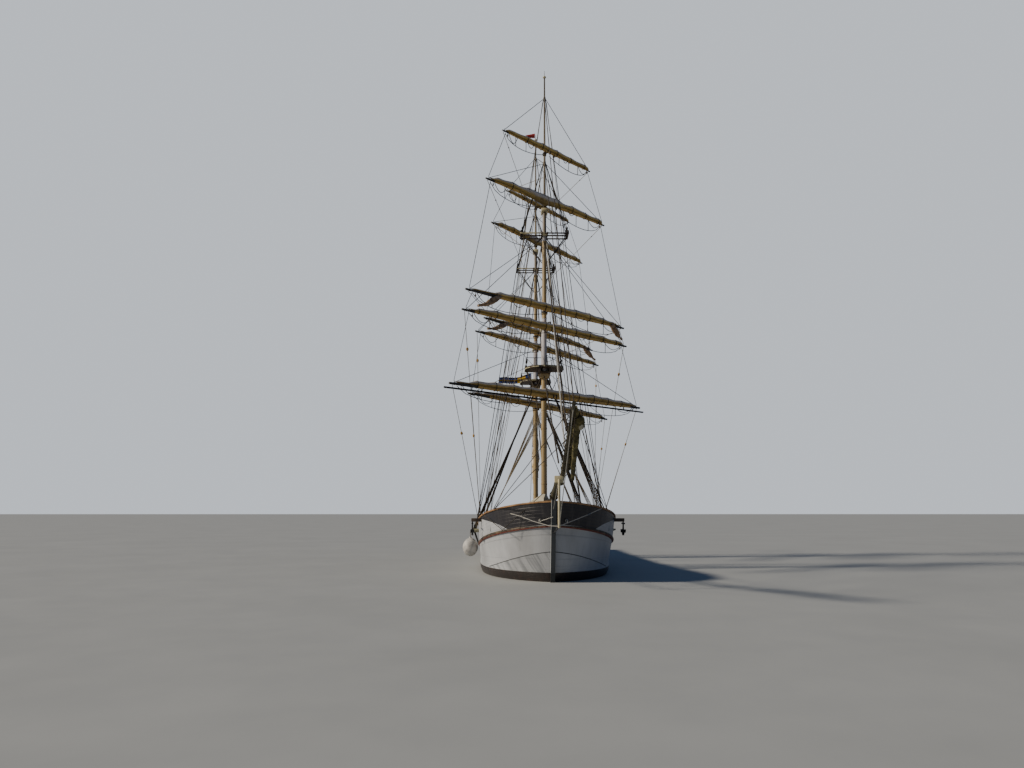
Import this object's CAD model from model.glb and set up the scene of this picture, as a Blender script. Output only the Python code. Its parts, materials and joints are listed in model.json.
"""Looks of a half-size model of a two-masted square-rigged brig, afloat with her sails furled.

Named sizes are the full-size ship's, in metres, and SCALE brings them to the model. Forward is +X, port
is +Y and up is +Z, with the origin amidships at the waterline.
"""
import json
import math

import bpy
from mathutils import Matrix, Vector, noise


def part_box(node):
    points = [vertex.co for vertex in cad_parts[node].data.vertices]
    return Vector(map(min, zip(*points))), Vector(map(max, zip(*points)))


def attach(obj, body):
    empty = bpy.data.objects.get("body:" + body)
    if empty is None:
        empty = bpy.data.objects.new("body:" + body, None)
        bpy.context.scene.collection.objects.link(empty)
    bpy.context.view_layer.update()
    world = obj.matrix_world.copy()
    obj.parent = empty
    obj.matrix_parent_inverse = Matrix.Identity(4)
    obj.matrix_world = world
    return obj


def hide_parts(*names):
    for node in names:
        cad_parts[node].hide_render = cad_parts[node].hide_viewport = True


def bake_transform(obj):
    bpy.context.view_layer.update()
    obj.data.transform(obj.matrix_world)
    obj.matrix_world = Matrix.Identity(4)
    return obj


bl_info = {
    "name": "Square-rigged brig",
    "version": (1, 0, 0),
    "blender": (4, 5, 0),
    "location": "View3D > Sidebar > Brig",
    "description": "Builds the planking, spars, furled sails and rigging of a two-masted brig",
    "category": "Add Mesh",
}

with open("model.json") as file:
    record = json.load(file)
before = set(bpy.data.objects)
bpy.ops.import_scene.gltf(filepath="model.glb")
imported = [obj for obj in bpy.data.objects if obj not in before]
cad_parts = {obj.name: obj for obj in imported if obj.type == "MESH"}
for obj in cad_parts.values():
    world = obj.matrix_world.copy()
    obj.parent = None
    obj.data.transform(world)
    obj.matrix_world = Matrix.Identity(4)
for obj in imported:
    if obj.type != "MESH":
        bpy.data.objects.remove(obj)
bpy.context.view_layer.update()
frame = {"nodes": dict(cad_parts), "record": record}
SCALE = 0.5
PORT, STARBOARD = 1, -1
SIDES = {"port": PORT, "starboard": STARBOARD}
QUARTER_TURN = Matrix.Rotation(math.pi / 2, 4, "X")
CIRCLE = [(math.cos(math.pi * k / 8), math.sin(math.pi * k / 8)) for k in range(17)]

# Hull levels from keel to rail: x of the stem and of the stern, height above the water, or None and
# the drop below the rail, greatest half-breadth, bow power and root, stern share and run
LEVELS = (
    (12.6, -13.3, -3.0, 0, 0.12, 1, 1, 1, 1),
    (14.7, -13.35, -2.3, 0, 2.3, 1.6, 0.8, 0, 1.6),
    (15.9, -13.4, -1.3, 0, 3.55, 2.2, 0.95, 0, 2),
    (16.5, -13.9, 0.0, 0, 3.95, 5, 1.3, 0, 2.6),
    (16.8, -16.2, 0.9, 0, 4.02, 5.8, 1.36, 0.5, 2.4),
    (17.15, -16.8, None, 1.38, 4.05, 7, 1.4, 0.66, 2.4),
    (17.3, -17.0, None, 1.08, 4.05, 7.5, 1.4, 0.7, 2.4),
    (17.5, -17.5, None, 0, 4.1, 8, 1.42, 0.74, 2.4),
)
WALE_LEVEL, RAIL_LEVEL = 5.45, 7

# The rail is lowest at low_x, and rises to bow and stern
SHEER = {"low_x": -4, "low_z": 2.55, "bow_rise": 1.62, "bow_length": 21.5, "bow_power": 2.6,
         "stern_rise": 0.75, "stern_length": 13.5}

# Sections of wale and cap rail, outward and upward from their hull level
WALE_SECTION = ((-0.05, -0.1), (0.03, -0.095), (0.075, -0.05), (0.085, 0), (0.075, 0.05), (0.03, 0.095),
                (-0.05, 0.1))
CAP_SECTION = ((-0.2, 0.015), (-0.185, 0), (0.055, 0), (0.07, 0.015), (0.07, 0.075), (0.055, 0.09),
               (-0.185, 0.09), (-0.2, 0.075))
TIMBERHEADS = {"aft": -15.6, "step": 1.15, "count": 27}
POST_HALF = 0.12
WIDEST = 0.45
BULWARK_THICK = 0.13
DECK_DROP = 1.0
BOOT_TOP = 0.5

# Masts at the waterline: x, rake in degrees, and heights along the mast
MASTS = {
    "fore": {"x": 8.75, "rake": 1, "top": 12.6, "cap": 15.05, "trees": 20.8, "topmast_cap": 22.25,
             "shoulder": 25.25, "hounds": 29.27, "truck": 30.6},
    "main": {"x": -3.0, "rake": 2, "top": 13.7, "cap": 16.2, "trees": 22.3, "topmast_cap": 23.7,
             "shoulder": 26.5, "hounds": 31.0, "truck": 32.45},
}
SPARS = {"lower": (0, 0.2, 0.16), "topmast": (0.45, 0.155, 0.12), "topgallant": (0.78, 0.09, 0.045)}
HOOP_STEP = 1.15
SPIKE = 0.35
TOP_EDGE = ((-0.75, -1.2), (-0.2, -1.2), (0.2, -1.2), (0.55, -1.14), (0.85, -0.95), (1.08, -0.62),
            (1.19, -0.2))
TREE_BARS = (-0.5, 0.05, 0.5)
YARD_KINDS = {  # spar that carries it, distance ahead, radius, radius of the furled sail, depth of its bunt
    "course": ("lower", 0.9, 0.15, 0.19, 0),
    "lower_topsail": ("topmast", 0.66, 0.13, 0.17, 0),
    "upper_topsail": ("topmast", 0.66, 0.13, 0.17, 0),
    "topgallant": ("topgallant", 0.4, 0.11, 0.17, 0.34),
    "royal": ("topgallant", 0.34, 0.08, 0.14, 0),
}
YARDS = {  # height along the mast, half-length, brace angle from square in degrees
    ("fore", "course"): (10.75, 7.71, 37.5),
    ("fore", "lower_topsail"): (14.84, 7.01, 41),
    ("fore", "upper_topsail"): (16.02, 6.75, 41),
    ("fore", "topgallant"): (22.57, 5.23, 43),
    ("fore", "royal"): (25.78, 3.93, 43.5),
    ("main", "course"): (11.64, 8.2, 47),
    ("main", "lower_topsail"): (16.03, 7.39, 48),
    ("main", "upper_topsail"): (17.15, 6.53, 48),
    ("main", "topgallant"): (24.15, 5.6, 49),
    ("main", "royal"): (27.03, 3.95, 49),
}
BUNT_MIDDLE, BUNT_HALF = -0.12, 0.4
CRANE_LIFT, CRANE_REACH = 0.49, 0.52
COLLAR_HALF = 0.07
SLIM_BOOM = {"half": 8.05, "radius": 0.055, "drop": 0.26, "hangers": (-0.8, -0.3, 0.3, 0.8)}
LIFT_HEADS = {"course": ("lower", "cap"), "lower_topsail": ("topmast", "trees"),
              "upper_topsail": ("topmast", "trees"), "topgallant": ("topgallant", "shoulder"),
              "royal": ("topgallant", "hounds")}
BRACE_FEET = {  # where the braces of each yard end: x on the rail, or the spar and height of the other mast
    "fore": {"course": 3.55, "lower_topsail": -1.0, "upper_topsail": ("main", "lower", 14.9),
             "topgallant": ("main", "topmast", 20.6), "royal": ("main", "topgallant", 26.0)},
    "main": {"course": -0.7, "lower_topsail": 0.1, "upper_topsail": ("fore", "lower", 13.7),
             "topgallant": ("fore", "topmast", 19.2), "royal": ("fore", "topgallant", 24.3)},
}
STAIN = {"course": 0.6, "lower_topsail": 0.15, "upper_topsail": 0.1, "topgallant": 0.2, "royal": 0.0}

# Shares of a yard between which its sail is bunched up. Beyond them only the folded leech lies on it
SAIL_ENDS = {"course": (-0.78, 0.87), "lower_topsail": (-0.82, 0.89), "upper_topsail": (-0.63, 0.83),
             "topgallant": (-0.84, 0.92), "royal": (-0.88, 0.93)}

SHROUDS = {"count": 5, "first": 0.7, "step": 0.75, "foot": 0.34, "below_top": 0.42, "below": 0.3}
BACKSTAYS = {"first": 0.32, "step": 0.27, "below_trees": 0.3}
DEADEYES = (0.2, 0.7)

BOWSPRIT = {"heel": 13.6, "end": 21.3, "stem": 17.5, "stem_z": 4.46, "rise": 11.5,
            "radius": 0.21, "tip": 0.15}
JIBBOOM = {"heel": 20.0, "cap": 21.2, "cap_y": 0.17, "cap_z": 5.42, "end": 28.9, "end_z": 7.75,
           "radius": 0.115, "tip": 0.07}
STRIKER = {"x": 21.39, "top": 5.2, "bottom": 2.94, "radius": 0.06}
SPANKER = {"boom": (4.35, 11.0, 3, 0.13), "gaff": (10.75, 8.7, 28, 0.11)}  # height, length, rise, radius
PIVOT_BEHIND = 0.42
BRAILED = [(0.08,), (0.16,), (0.24,), (0.27,), (0.24,), (0.2,), (0.1,)]  # radii of the brailed sail going up
ENSIGN = (2.9, 1.1)  # length and hoist
WIND_SOCK = (0.17, 0.09, 0.72)  # radius of its mouth and of its end, and length

SKYLIGHT_X, WINDLASS_X, RUDDER_X = -7.6, 13.25, -14.75

SUN_WAY = (-0.15, 0.84, -0.5)
SUN_STRENGTH = 4.3
SUN_SPREAD = 6  # degrees
CAMERA_AT = (58.46, -2.74, 3.73)
CAMERA_TURN = 0.85  # degrees to port of straight astern
CAMERA_LENS = 28.125
CAMERA_SHIFT = 0.124


def scaled(x, y, z):
    return Vector((x, y, z)) * SCALE


def place_at(x, y, z, turn=0.0, axis="Z"):
    """Matrix of the model for a place of the ship, turned by degrees about one axis."""
    return Matrix.Translation(scaled(x, y, z)) @ Matrix.Rotation(math.radians(turn), 4, axis)


# Mesh helpers
def only(obj):
    """Selects one object and makes it the active one."""
    bpy.ops.object.select_all(action="DESELECT")
    obj.select_set(True)
    bpy.context.view_layer.objects.active = obj


def finished(obj, name, body, material, smooth=40, replaces=()):
    """Names a piece, settles its place in its mesh, gives it its finish and lets it ride on its body."""
    obj.name = obj.data.name = name
    only(obj)
    bpy.ops.object.transform_apply(location=True, rotation=True, scale=True)
    if smooth:
        bpy.ops.object.shade_smooth_by_angle(angle=math.radians(smooth))
    if material:
        obj.data.materials.clear()
        obj.data.materials.append(finish(material))
    if replaces:
        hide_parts(*replaces)
    if body:
        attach(obj, body)
    return obj


def tidied(obj):
    """Merges doubles, closes open ends and points every face outwards."""
    only(obj)
    bpy.ops.object.mode_set(mode="EDIT")
    bpy.ops.mesh.select_all(action="SELECT")
    bpy.ops.mesh.remove_doubles(threshold=1e-5)
    bpy.ops.mesh.select_all(action="DESELECT")
    bpy.ops.mesh.select_mode(type="EDGE")
    bpy.ops.mesh.select_non_manifold(extend=False)
    bpy.ops.mesh.fill_holes(sides=0)
    bpy.ops.mesh.select_all(action="SELECT")
    bpy.ops.mesh.normals_make_consistent(inside=False)
    bpy.ops.mesh.select_mode(type="VERT")
    bpy.ops.object.mode_set(mode="OBJECT")
    return obj


def surface(place, around, along):
    """A grid primitive bent so that its point at u and v, each from 0 to 1, lies at place(u, v)."""
    bpy.ops.object.select_all(action="DESELECT")
    bpy.ops.mesh.primitive_grid_add(x_subdivisions=around, y_subdivisions=along, size=1)
    obj = bpy.context.object
    for vertex in obj.data.vertices:
        vertex.co = place(vertex.co.x + 0.5, vertex.co.y + 0.5)
    return obj


def shell(rings):
    """Closed skin through rings of places of the ship."""
    count = len(rings[0])

    def place(u, v):
        return scaled(*rings[round(v * (len(rings) - 1))][round(u * count) % count])

    return tidied(surface(place, count, len(rings) - 1))


def joined(objects):
    """Joins meshes into the first of them."""
    only(objects[0])
    for obj in objects:
        obj.select_set(True)
    if len(objects) > 1:
        bpy.ops.object.join()
    return bpy.context.object


def scattered(template, matrices):
    """Copies of one mesh at each matrix, joined. The template itself goes."""
    copies = []
    for matrix in matrices:
        copy = template.copy()
        copy.data = template.data.copy()
        copy.data.transform(matrix)
        bpy.context.collection.objects.link(copy)
        copies.append(copy)
    bpy.data.objects.remove(template)
    return joined(copies)


def painted(obj, material):
    """Gives a part its finish before it is joined with others."""
    obj.data.materials.clear()
    obj.data.materials.append(finish(material))
    return obj


def along(start, end):
    """Matrix that lays +Z on the line from start to end, with its origin at start."""
    way = end - start
    return Matrix.Translation(start) @ way.to_track_quat("Z", "Y").to_matrix().to_4x4()


def turned(stations, start, end, sides=20):
    """A round bar: a filled circle extruded and resized through stations of distance and radius."""
    bpy.ops.object.select_all(action="DESELECT")
    first = stations[0]
    bpy.ops.mesh.primitive_circle_add(vertices=sides, radius=first[1] * SCALE, fill_type="NGON")
    obj = bpy.context.object
    bpy.ops.object.mode_set(mode="EDIT")
    bpy.ops.mesh.select_all(action="SELECT")
    for (low, wide), (high, next_wide) in zip(stations, stations[1:]):
        bpy.ops.mesh.extrude_region_move(TRANSFORM_OT_translate={"value": (0, 0, (high - low) * SCALE)})
        share = next_wide / wide
        bpy.ops.transform.resize(value=(share, share, 1))
    bpy.ops.mesh.select_all(action="SELECT")
    bpy.ops.mesh.normals_make_consistent(inside=False)
    bpy.ops.object.mode_set(mode="OBJECT")
    obj.data.transform(Matrix.Translation((0, 0, first[0] * SCALE)))
    obj.data.transform(along(start, end))
    return obj


def bar(start, end, radius, end_radius=None, sides=10):
    """A plain round bar between two points of the model, its radii in metres of the ship."""
    length = (end - start).length / SCALE
    return turned([(0, radius), (length, radius if end_radius is None else end_radius)], start, end, sides)


def boxed(size, matrix, bevel=0.01):
    """A box with rounded edges, of a size in metres of the ship, laid by a matrix of the model."""
    bpy.ops.object.select_all(action="DESELECT")
    bpy.ops.mesh.primitive_cube_add(size=1)
    obj = bpy.context.object
    obj.data.transform(Matrix.Diagonal((*(Vector(size) * SCALE), 1)))
    bpy.ops.object.mode_set(mode="EDIT")
    bpy.ops.mesh.select_all(action="SELECT")
    bpy.ops.mesh.bevel(offset=min(bevel, min(size) * SCALE * 0.3), segments=2, affect="EDGES")
    bpy.ops.object.mode_set(mode="OBJECT")
    obj.data.transform(matrix)
    return obj


def ring(matrix, radius, thick, tall=None, steps=20):
    """A hoop about +Z of a matrix: radius of its middle, half its wall, and half its height if it is flat."""
    bpy.ops.object.select_all(action="DESELECT")
    bpy.ops.mesh.primitive_torus_add(major_segments=steps, minor_segments=8, major_radius=radius * SCALE,
                                     minor_radius=thick * SCALE)
    obj = bpy.context.object
    obj.data.transform(Matrix.Diagonal((1, 1, (tall or thick) / thick, 1)))
    obj.data.transform(matrix)
    return obj


def ball(matrix, size, segments=16):
    """An ellipsoid with half-sizes in metres of the ship."""
    bpy.ops.object.select_all(action="DESELECT")
    bpy.ops.mesh.primitive_uv_sphere_add(segments=segments, ring_count=segments // 2, radius=1)
    obj = bpy.context.object
    obj.data.transform(Matrix.Diagonal((*(Vector(size) * SCALE), 1)))
    obj.data.transform(matrix)
    return obj


def ropes(lines, radius, resolution=1):
    """Ropes of one radius along lines of points of the model, as one mesh."""
    curve = bpy.data.curves.new("rope", "CURVE")
    curve.dimensions = "3D"
    curve.bevel_depth = radius * SCALE
    curve.bevel_resolution = resolution
    curve.use_fill_caps = True
    for line in lines:
        spline = curve.splines.new("POLY")
        spline.points.add(len(line) - 1)
        for point, place in zip(spline.points, line):
            point.co = (*place, 1)
    obj = bpy.data.objects.new("rope", curve)
    bpy.context.collection.objects.link(obj)
    only(obj)
    bpy.ops.object.convert(target="MESH")
    return bpy.context.object


def roped(lines, radius, name, body="hull", material="tarred_hemp"):
    """Ropes along lines, as a finished piece."""
    return finished(ropes(lines, radius), name, body, material)


def straight(start, end, parts):
    return [start.lerp(end, i / parts) for i in range(parts + 1)]


def sagging(start, end, depth, parts=12):
    """A rope between two points that hangs by depth in its middle, in metres of the ship."""
    return [point - scaled(0, 0, depth * 4 * (i / parts) * (1 - i / parts))
            for i, point in enumerate(straight(start, end, parts))]


def smooth_between(rows, share):
    """Values at a share from 0 to 1 of a table of rows, on a smooth line through all of them."""
    place = share * (len(rows) - 1)
    low = min(int(place), len(rows) - 2)
    f = place - low
    before, a, b, after = (rows[min(max(low + i, 0), len(rows) - 1)] for i in (-1, 0, 1, 2))
    return [0.5 * (2 * q + (r - p) * f + (2 * p - 5 * q + 4 * r - s) * f ** 2
                   + (3 * q - p - 3 * r + s) * f ** 3)
            for p, q, r, s in zip(before, a, b, after)]


def cloth_roll(middle, radius, rings, creases=0.12, around=18, seed=0.0):
    """A stowed roll of cloth: rings of a creased radius about middle(share), with closed ends."""
    def place(u, v):
        turn = 2 * math.pi * u
        across, up = math.cos(turn), math.sin(turn)
        length = v * rings * 0.13
        crease = 1 + creases * noise.noise(Vector((length, 1.7 * across + seed, 1.7 * up)))
        fold = 1 + creases * 0.5 * noise.noise(Vector((length * 3, 4 * across - seed, 4 * up)))
        size = radius(v) * crease * fold
        point = middle(v)
        ahead = (middle(min(v + 0.01, 1)) - middle(max(v - 0.01, 0))).normalized()
        side = ahead.cross(Vector((0, 0, 1)) if abs(ahead.z) < 0.9 else Vector((1, 0, 0))).normalized()
        return SCALE * (point + size * (side * across + side.cross(ahead) * up))

    return tidied(surface(place, around, rings))


# Hull form, in metres of the ship
def sheer(x):
    """Height of the rail along the ship."""
    away = x - SHEER["low_x"]
    if away > 0:
        return SHEER["low_z"] + SHEER["bow_rise"] * (away / SHEER["bow_length"]) ** SHEER["bow_power"]
    return SHEER["low_z"] + SHEER["stern_rise"] * (-away / SHEER["stern_length"]) ** 2


def hull_point(level, t, out=0.0):
    """Point of a hull level at a share t from stern to stem, on the port side, in metres of the ship."""
    stem, stern, z, drop, half, power, root, share, run = LEVELS[level]
    rail_x = LEVELS[RAIL_LEVEL][1] + (LEVELS[RAIL_LEVEL][0] - LEVELS[RAIL_LEVEL][1]) * t
    height = sheer(rail_x) - drop if z is None else z
    if t > WIDEST:
        s = (t - WIDEST) / (1 - WIDEST)
        y = POST_HALF + (half - POST_HALF) * max(0, 1 - s ** power) ** (1 / root)
    else:
        s = (WIDEST - t) / WIDEST
        y = POST_HALF + (half - POST_HALF) * (share + (1 - share) * max(0, 1 - s ** run) ** 1.3)
    return Vector((stern + (stem - stern) * t, y + out, height))


def hull_between(level, t):
    """Point at a level that may lie between two rows of the table, on a smooth frame line."""
    rows = [hull_point(i, t) for i in range(RAIL_LEVEL + 1)]
    return Vector(smooth_between(rows, level / RAIL_LEVEL))


def rail_half(x):
    stem, stern = LEVELS[RAIL_LEVEL][:2]
    return hull_point(RAIL_LEVEL, (x - stern) / (stem - stern)).y


def deck_z(x):
    return sheer(x) - DECK_DROP


def rail_point(x, side, out=0.0, up=0.0):
    return scaled(x, side * (rail_half(x) + out), sheer(x) + up)


def bowsprit_point(x, side=0.0, up=0.0):
    rise = math.tan(math.radians(BOWSPRIT["rise"]))
    return scaled(x, side, BOWSPRIT["stem_z"] + (x - BOWSPRIT["stem"]) * rise + up)


def jibboom_place(x):
    share = (x - JIBBOOM["cap"]) / (JIBBOOM["end"] - JIBBOOM["cap"])
    return Vector((x, JIBBOOM["cap_y"] * (1 - share),
                   JIBBOOM["cap_z"] + (JIBBOOM["end_z"] - JIBBOOM["cap_z"]) * share))


# Masts and yards
def mast_frame(mast):
    """Matrix that lays +X ahead of a mast and +Z along it, from its place at the waterline."""
    rake = Matrix.Rotation(-math.radians(MASTS[mast]["rake"]), 4, "Y")
    return Matrix.Translation(scaled(MASTS[mast]["x"], 0, 0)) @ rake


def on_mast(mast, spar, z, side=0.0, aft=0.0):
    """Point at a height along a mast, on the axis of one of its spars, in the model."""
    return mast_frame(mast) @ scaled(SPARS[spar][0] - aft, side, z)


def spar_range(mast, spar):
    places = MASTS[mast]
    if spar == "lower":
        return 0.6, places["cap"] + 0.1
    if spar == "topmast":
        return places["top"] - 0.25, places["topmast_cap"] + 0.1
    return places["trees"] + 0.06, places["truck"]


def spar_radius(mast, spar, z):
    _, low_radius, high_radius = SPARS[spar]
    low, high = spar_range(mast, spar)
    return low_radius + (high_radius - low_radius) * (z - low) / (high - low)


class Yard:
    """Where one yard lies, and the shape of the sail furled on it."""

    def __init__(self, mast, kind):
        self.mast = mast
        self.kind = kind
        self.name = f"{mast}_{kind}"
        self.body = f"{mast}_{kind}_yard"
        self.spar, self.ahead, self.radius, self.sail, self.bunt = YARD_KINDS[kind]
        self.z, self.half, self.brace = YARDS[mast, kind]
        self.frame = mast_frame(mast) @ place_at(SPARS[self.spar][0], 0, self.z, self.brace)
        self.lift = CRANE_LIFT if kind == "lower_topsail" else 0.0

    def local(self, x, y, z):
        """Point of the model, from the mast's axis at the yard's height: +X ahead, +Y along the yard."""
        return self.frame @ scaled(x, y, z)

    def at(self, share, ahead=0.0, up=0.0):
        """Point at a share of the half-length, ahead of and above the yard's axis in metres of the ship."""
        return self.local(self.ahead + ahead, share * self.half, up)

    def radius_at(self, share):
        away = abs(share)
        return self.radius * (1 - 0.3 * away if away < 0.5 else 0.85 - 0.8 * (away - 0.5))

    def deep(self, share):
        return self.bunt * max(0, 1 - abs(share - BUNT_MIDDLE) / BUNT_HALF)

    def bundle(self, share, step=1.0):
        """Half-height, half-width, middle height and lead ahead of the furled sail at a share of the yard."""
        away = abs(share)
        puff = 0.08 * math.cos(2 * math.pi * share * self.half / step)
        lump = 0.24 * noise.noise(Vector((share * self.half * 0.9, len(self.name), 0.5)))
        size = self.sail * (1 - 0.42 * away ** 2) * (0.95 + lump - puff)
        starboard_end, port_end = SAIL_ENDS[self.kind]
        past = max(starboard_end - share, share - port_end, 0) / 0.05
        size *= 1 - 0.62 * min(past, 1)
        if away > 0.9:
            size *= math.sqrt(max(0.02, 1 - ((away - 0.9) / 0.05) ** 2))
        deep = self.deep(share)
        middle = self.radius * (1 - 0.45 * away) + 0.55 * size - deep / 2
        return size + deep / 2, size, middle, 0.04 + 0.3 * deep


YARD_LIST = [Yard(mast, kind) for mast, kind in YARDS]


# Materials
def linear(code):
    """Linear colour of an sRGB hex code."""
    parts = [int(code[i:i + 2], 16) / 255 for i in (1, 3, 5)]
    return tuple(c / 12.92 if c <= 0.04045 else ((c + 0.055) / 1.055) ** 2.4 for c in parts) + (1.0,)


def shade(colour):
    """Linear colour of an sRGB hex code, or of the colour setting of that name."""
    if colour.startswith("#"):
        return linear(colour)
    return tuple(getattr(bpy.context.scene.brig_colours, colour))


def node(tree, kind, links=None, values=None, stops=None, **settings):
    """Adds a shader node with its settings, values, colour stops and links."""
    made = tree.nodes.new("ShaderNode" + kind)
    for key, value in settings.items():
        setattr(made, key, value)
    for socket, value in (values or {}).items():
        made.inputs[socket].default_value = value
    for socket, source in (links or {}).items():
        tree.links.new(source, made.inputs[socket])
    for place, (position, colour) in enumerate(stops or ()):
        stop = made.color_ramp.elements[place] if place < 2 else made.color_ramp.elements.new(position)
        stop.position = position
        stop.color = shade(colour)
    return made


def weathered(name, colours, spot_mm, roughness, bump_mm=1.0, stretch=(1, 1, 1), **shader):
    """A finish whose colour wanders through its shades in spots of a real size, with a fine uneven face.

    Returns the material, its tree, its colour and its bumpy normal.
    """
    material = bpy.data.materials.new(name)
    material.use_nodes = True
    tree = material.node_tree
    place = node(tree, "TexCoord").outputs["Object"]
    spread = node(tree, "Mapping", {"Vector": place}, {"Scale": stretch}).outputs["Vector"]
    spots = node(tree, "TexNoise", {"Vector": spread},
                 {"Scale": 1000 / spot_mm, "Detail": 6.0, "Roughness": 0.62})
    stops = [(0.3 + 0.4 * i / (len(colours) - 1), colour) for i, colour in enumerate(colours)]
    shades = node(tree, "ValToRGB", {"Fac": spots.outputs["Fac"]}, stops=stops).outputs["Color"]
    fine = node(tree, "TexNoise", {"Vector": spread}, {"Scale": 4000 / spot_mm, "Detail": 4.0}).outputs["Fac"]
    rough = node(tree, "MapRange", {"Value": fine},
                 {"To Min": roughness - 0.08, "To Max": min(1.0, roughness + 0.12)}).outputs["Result"]
    bump = node(tree, "Bump", {"Height": fine},
                {"Strength": 0.5, "Distance": bump_mm / 1000}).outputs["Normal"]
    sockets = tree.nodes["Principled BSDF"].inputs
    for socket, source in (("Base Color", shades), ("Roughness", rough), ("Normal", bump)):
        tree.links.new(source, sockets[socket])
    for socket, value in shader.items():
        sockets[socket.replace("_", " ")].default_value = value
    return material, tree, shades, bump


def layered(tree, base, layers):
    """Lays flat colours over a finish one after the other, each where its factor is 1."""
    for factor, colour in layers:
        mix = node(tree, "Mix", {0: factor, 6: base}, data_type="RGBA")
        mix.inputs[7].default_value = shade(colour)
        base = mix.outputs[2]
    tree.links.new(base, tree.nodes["Principled BSDF"].inputs["Base Color"])


def patches(tree, scale, low, high, strength, turn=(0, 0, 0)):
    """Worn patches: turned and stretched noise, brought from 0 to strength between two of its values."""
    place = node(tree, "TexCoord").outputs["Object"]
    lying = node(tree, "Mapping", {"Vector": place}, {"Rotation": turn}).outputs["Vector"]
    spread = node(tree, "Mapping", {"Vector": lying}, {"Scale": scale}).outputs["Vector"]
    blots = node(tree, "TexNoise", {"Vector": spread}, {"Scale": 1.0, "Detail": 5.0}).outputs["Fac"]
    return node(tree, "MapRange", {"Value": blots},
                {"From Min": low, "From Max": high, "To Max": strength}).outputs["Result"]


def facing(tree, axis, low, high, strength):
    """How far a face looks along an axis, brought from 0 to strength between two values of its normal."""
    normal = node(tree, "SeparateXYZ", {"Vector": node(tree, "TexCoord").outputs["Normal"]}).outputs[axis]
    return node(tree, "MapRange", {"Value": normal},
                {"From Min": low, "From Max": high, "To Max": strength}).outputs["Result"]


def seamed(tree, bump, coordinate, width, share, depth):
    """Cuts a seam along every plank of a finish, and returns how deep in a seam each place is."""
    planks = node(tree, "Math", {0: coordinate}, {1: 1 / width}, operation="MULTIPLY").outputs["Value"]
    across = node(tree, "Math", {0: planks}, operation="FRACT").outputs["Value"]
    seam = node(tree, "MapRange", {"Value": across},
                {"From Max": share, "To Min": 1.0, "To Max": 0.0}).outputs["Result"]
    cut = node(tree, "Bump", {"Normal": bump, "Height": seam}, {"Strength": 0.7, "Distance": depth},
               invert=True)
    tree.links.new(cut.outputs["Normal"], tree.nodes["Principled BSDF"].inputs["Normal"])
    return seam


def hull_enamel(name):
    # Alkyd enamel brushed on planks: white satin topsides with dirty runs, a black band and a boot top
    material, tree, base, bump = weathered(
        name, ("#95979a", "#aeb1b5", "topside_paint"), 1600, 0.42, 2.0, (1, 1, 0.5))
    coordinates = node(tree, "TexCoord").outputs
    crease = node(tree, "Attribute", attribute_name="chafe_line").outputs["Fac"]
    below = node(tree, "Math", {0: crease}, {1: 0.0}, operation="LESS_THAN").outputs["Value"]
    across = node(tree, "SeparateXYZ", {"Vector": coordinates["Object"]}).outputs["Y"]
    starboard = node(tree, "Math", {0: across, 1: below}, operation="MULTIPLY").outputs["Value"]
    sunny = node(tree, "Math", {0: starboard}, {1: -0.05}, operation="LESS_THAN").outputs["Value"]
    slanted = patches(tree, (0.3, 13, 0.8), 0.46, 0.62, 0.75, (math.radians(-32), 0, 0))
    streaks = node(tree, "Math", {0: sunny, 1: slanted}, operation="MULTIPLY").outputs["Value"]
    girth = node(tree, "SeparateXYZ", {"Vector": coordinates["UV"]}).outputs["Y"]
    seam = seamed(tree, bump, girth, bpy.context.scene.brig_sizes.plank_width, 0.09, 0.006)
    faint = node(tree, "Math", {0: seam}, {1: 0.3}, operation="MULTIPLY").outputs["Value"]
    runs = (9, 9, 0.5)
    layers = [(patches(tree, runs, 0.55, 0.85, 0.3), "#75767a"), (streaks, "#6f7377"), (faint, "#4a4c4e")]
    for attribute, paint, worn in (("above_band", "band_paint", "#4b4847"),
                                   ("below_boot", "boot_paint", "#4a342c")):
        line = node(tree, "Attribute", attribute_name=attribute).outputs["Fac"]
        edge = node(tree, "Math", {0: line}, {1: 0.0}, operation="GREATER_THAN").outputs["Value"]
        rubbed = node(tree, "Math", {0: edge, 1: patches(tree, runs, 0.5, 0.7, 0.5)}, operation="MULTIPLY")
        layers += [(edge, paint), (rubbed.outputs["Value"], worn)]
    near = node(tree, "Math", {0: crease}, {1: 0.0, 2: 0.025}, operation="COMPARE").outputs["Value"]
    layered(tree, base, layers + [(near, "#3f4245")])
    return material


def stem_enamel(name):
    # The same enamel on the stem and keel, with the boot top at the waterline and a dark front to the stem
    material, tree, base, _ = weathered(name, ("#8d9294", "#b9bcbd"), 500, 0.45, 1.5, (1, 1, 0.3))
    height = node(tree, "SeparateXYZ", {"Vector": node(tree, "TexCoord").outputs["Object"]}).outputs["Z"]
    edge = node(tree, "Math", {0: height}, {1: BOOT_TOP * SCALE}, operation="LESS_THAN").outputs["Value"]
    layered(tree, base, [(edge, "#221d1a"), (facing(tree, "X", 0.5, 0.7, 0.9), "#262d31")])
    return material


def stained_wale(name):
    # Pine wale scuffed by quays: a red moulding below a strip gone olive-brown
    material, tree, base, _ = weathered(name, ("#221e19", "#3b3327", "#6b5a43"), 300, 0.6, 1.5, (0.2, 1, 1))
    across = node(tree, "SeparateXYZ", {"Vector": node(tree, "TexCoord").outputs["UV"]}).outputs["X"]
    low = node(tree, "Math", {0: across}, {1: 0.3}, operation="LESS_THAN").outputs["Value"]
    layered(tree, base, [(low, "wale_paint"), (patches(tree, (3, 14, 14), 0.5, 0.7, 0.7), "#7d6a52")])
    return material


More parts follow.
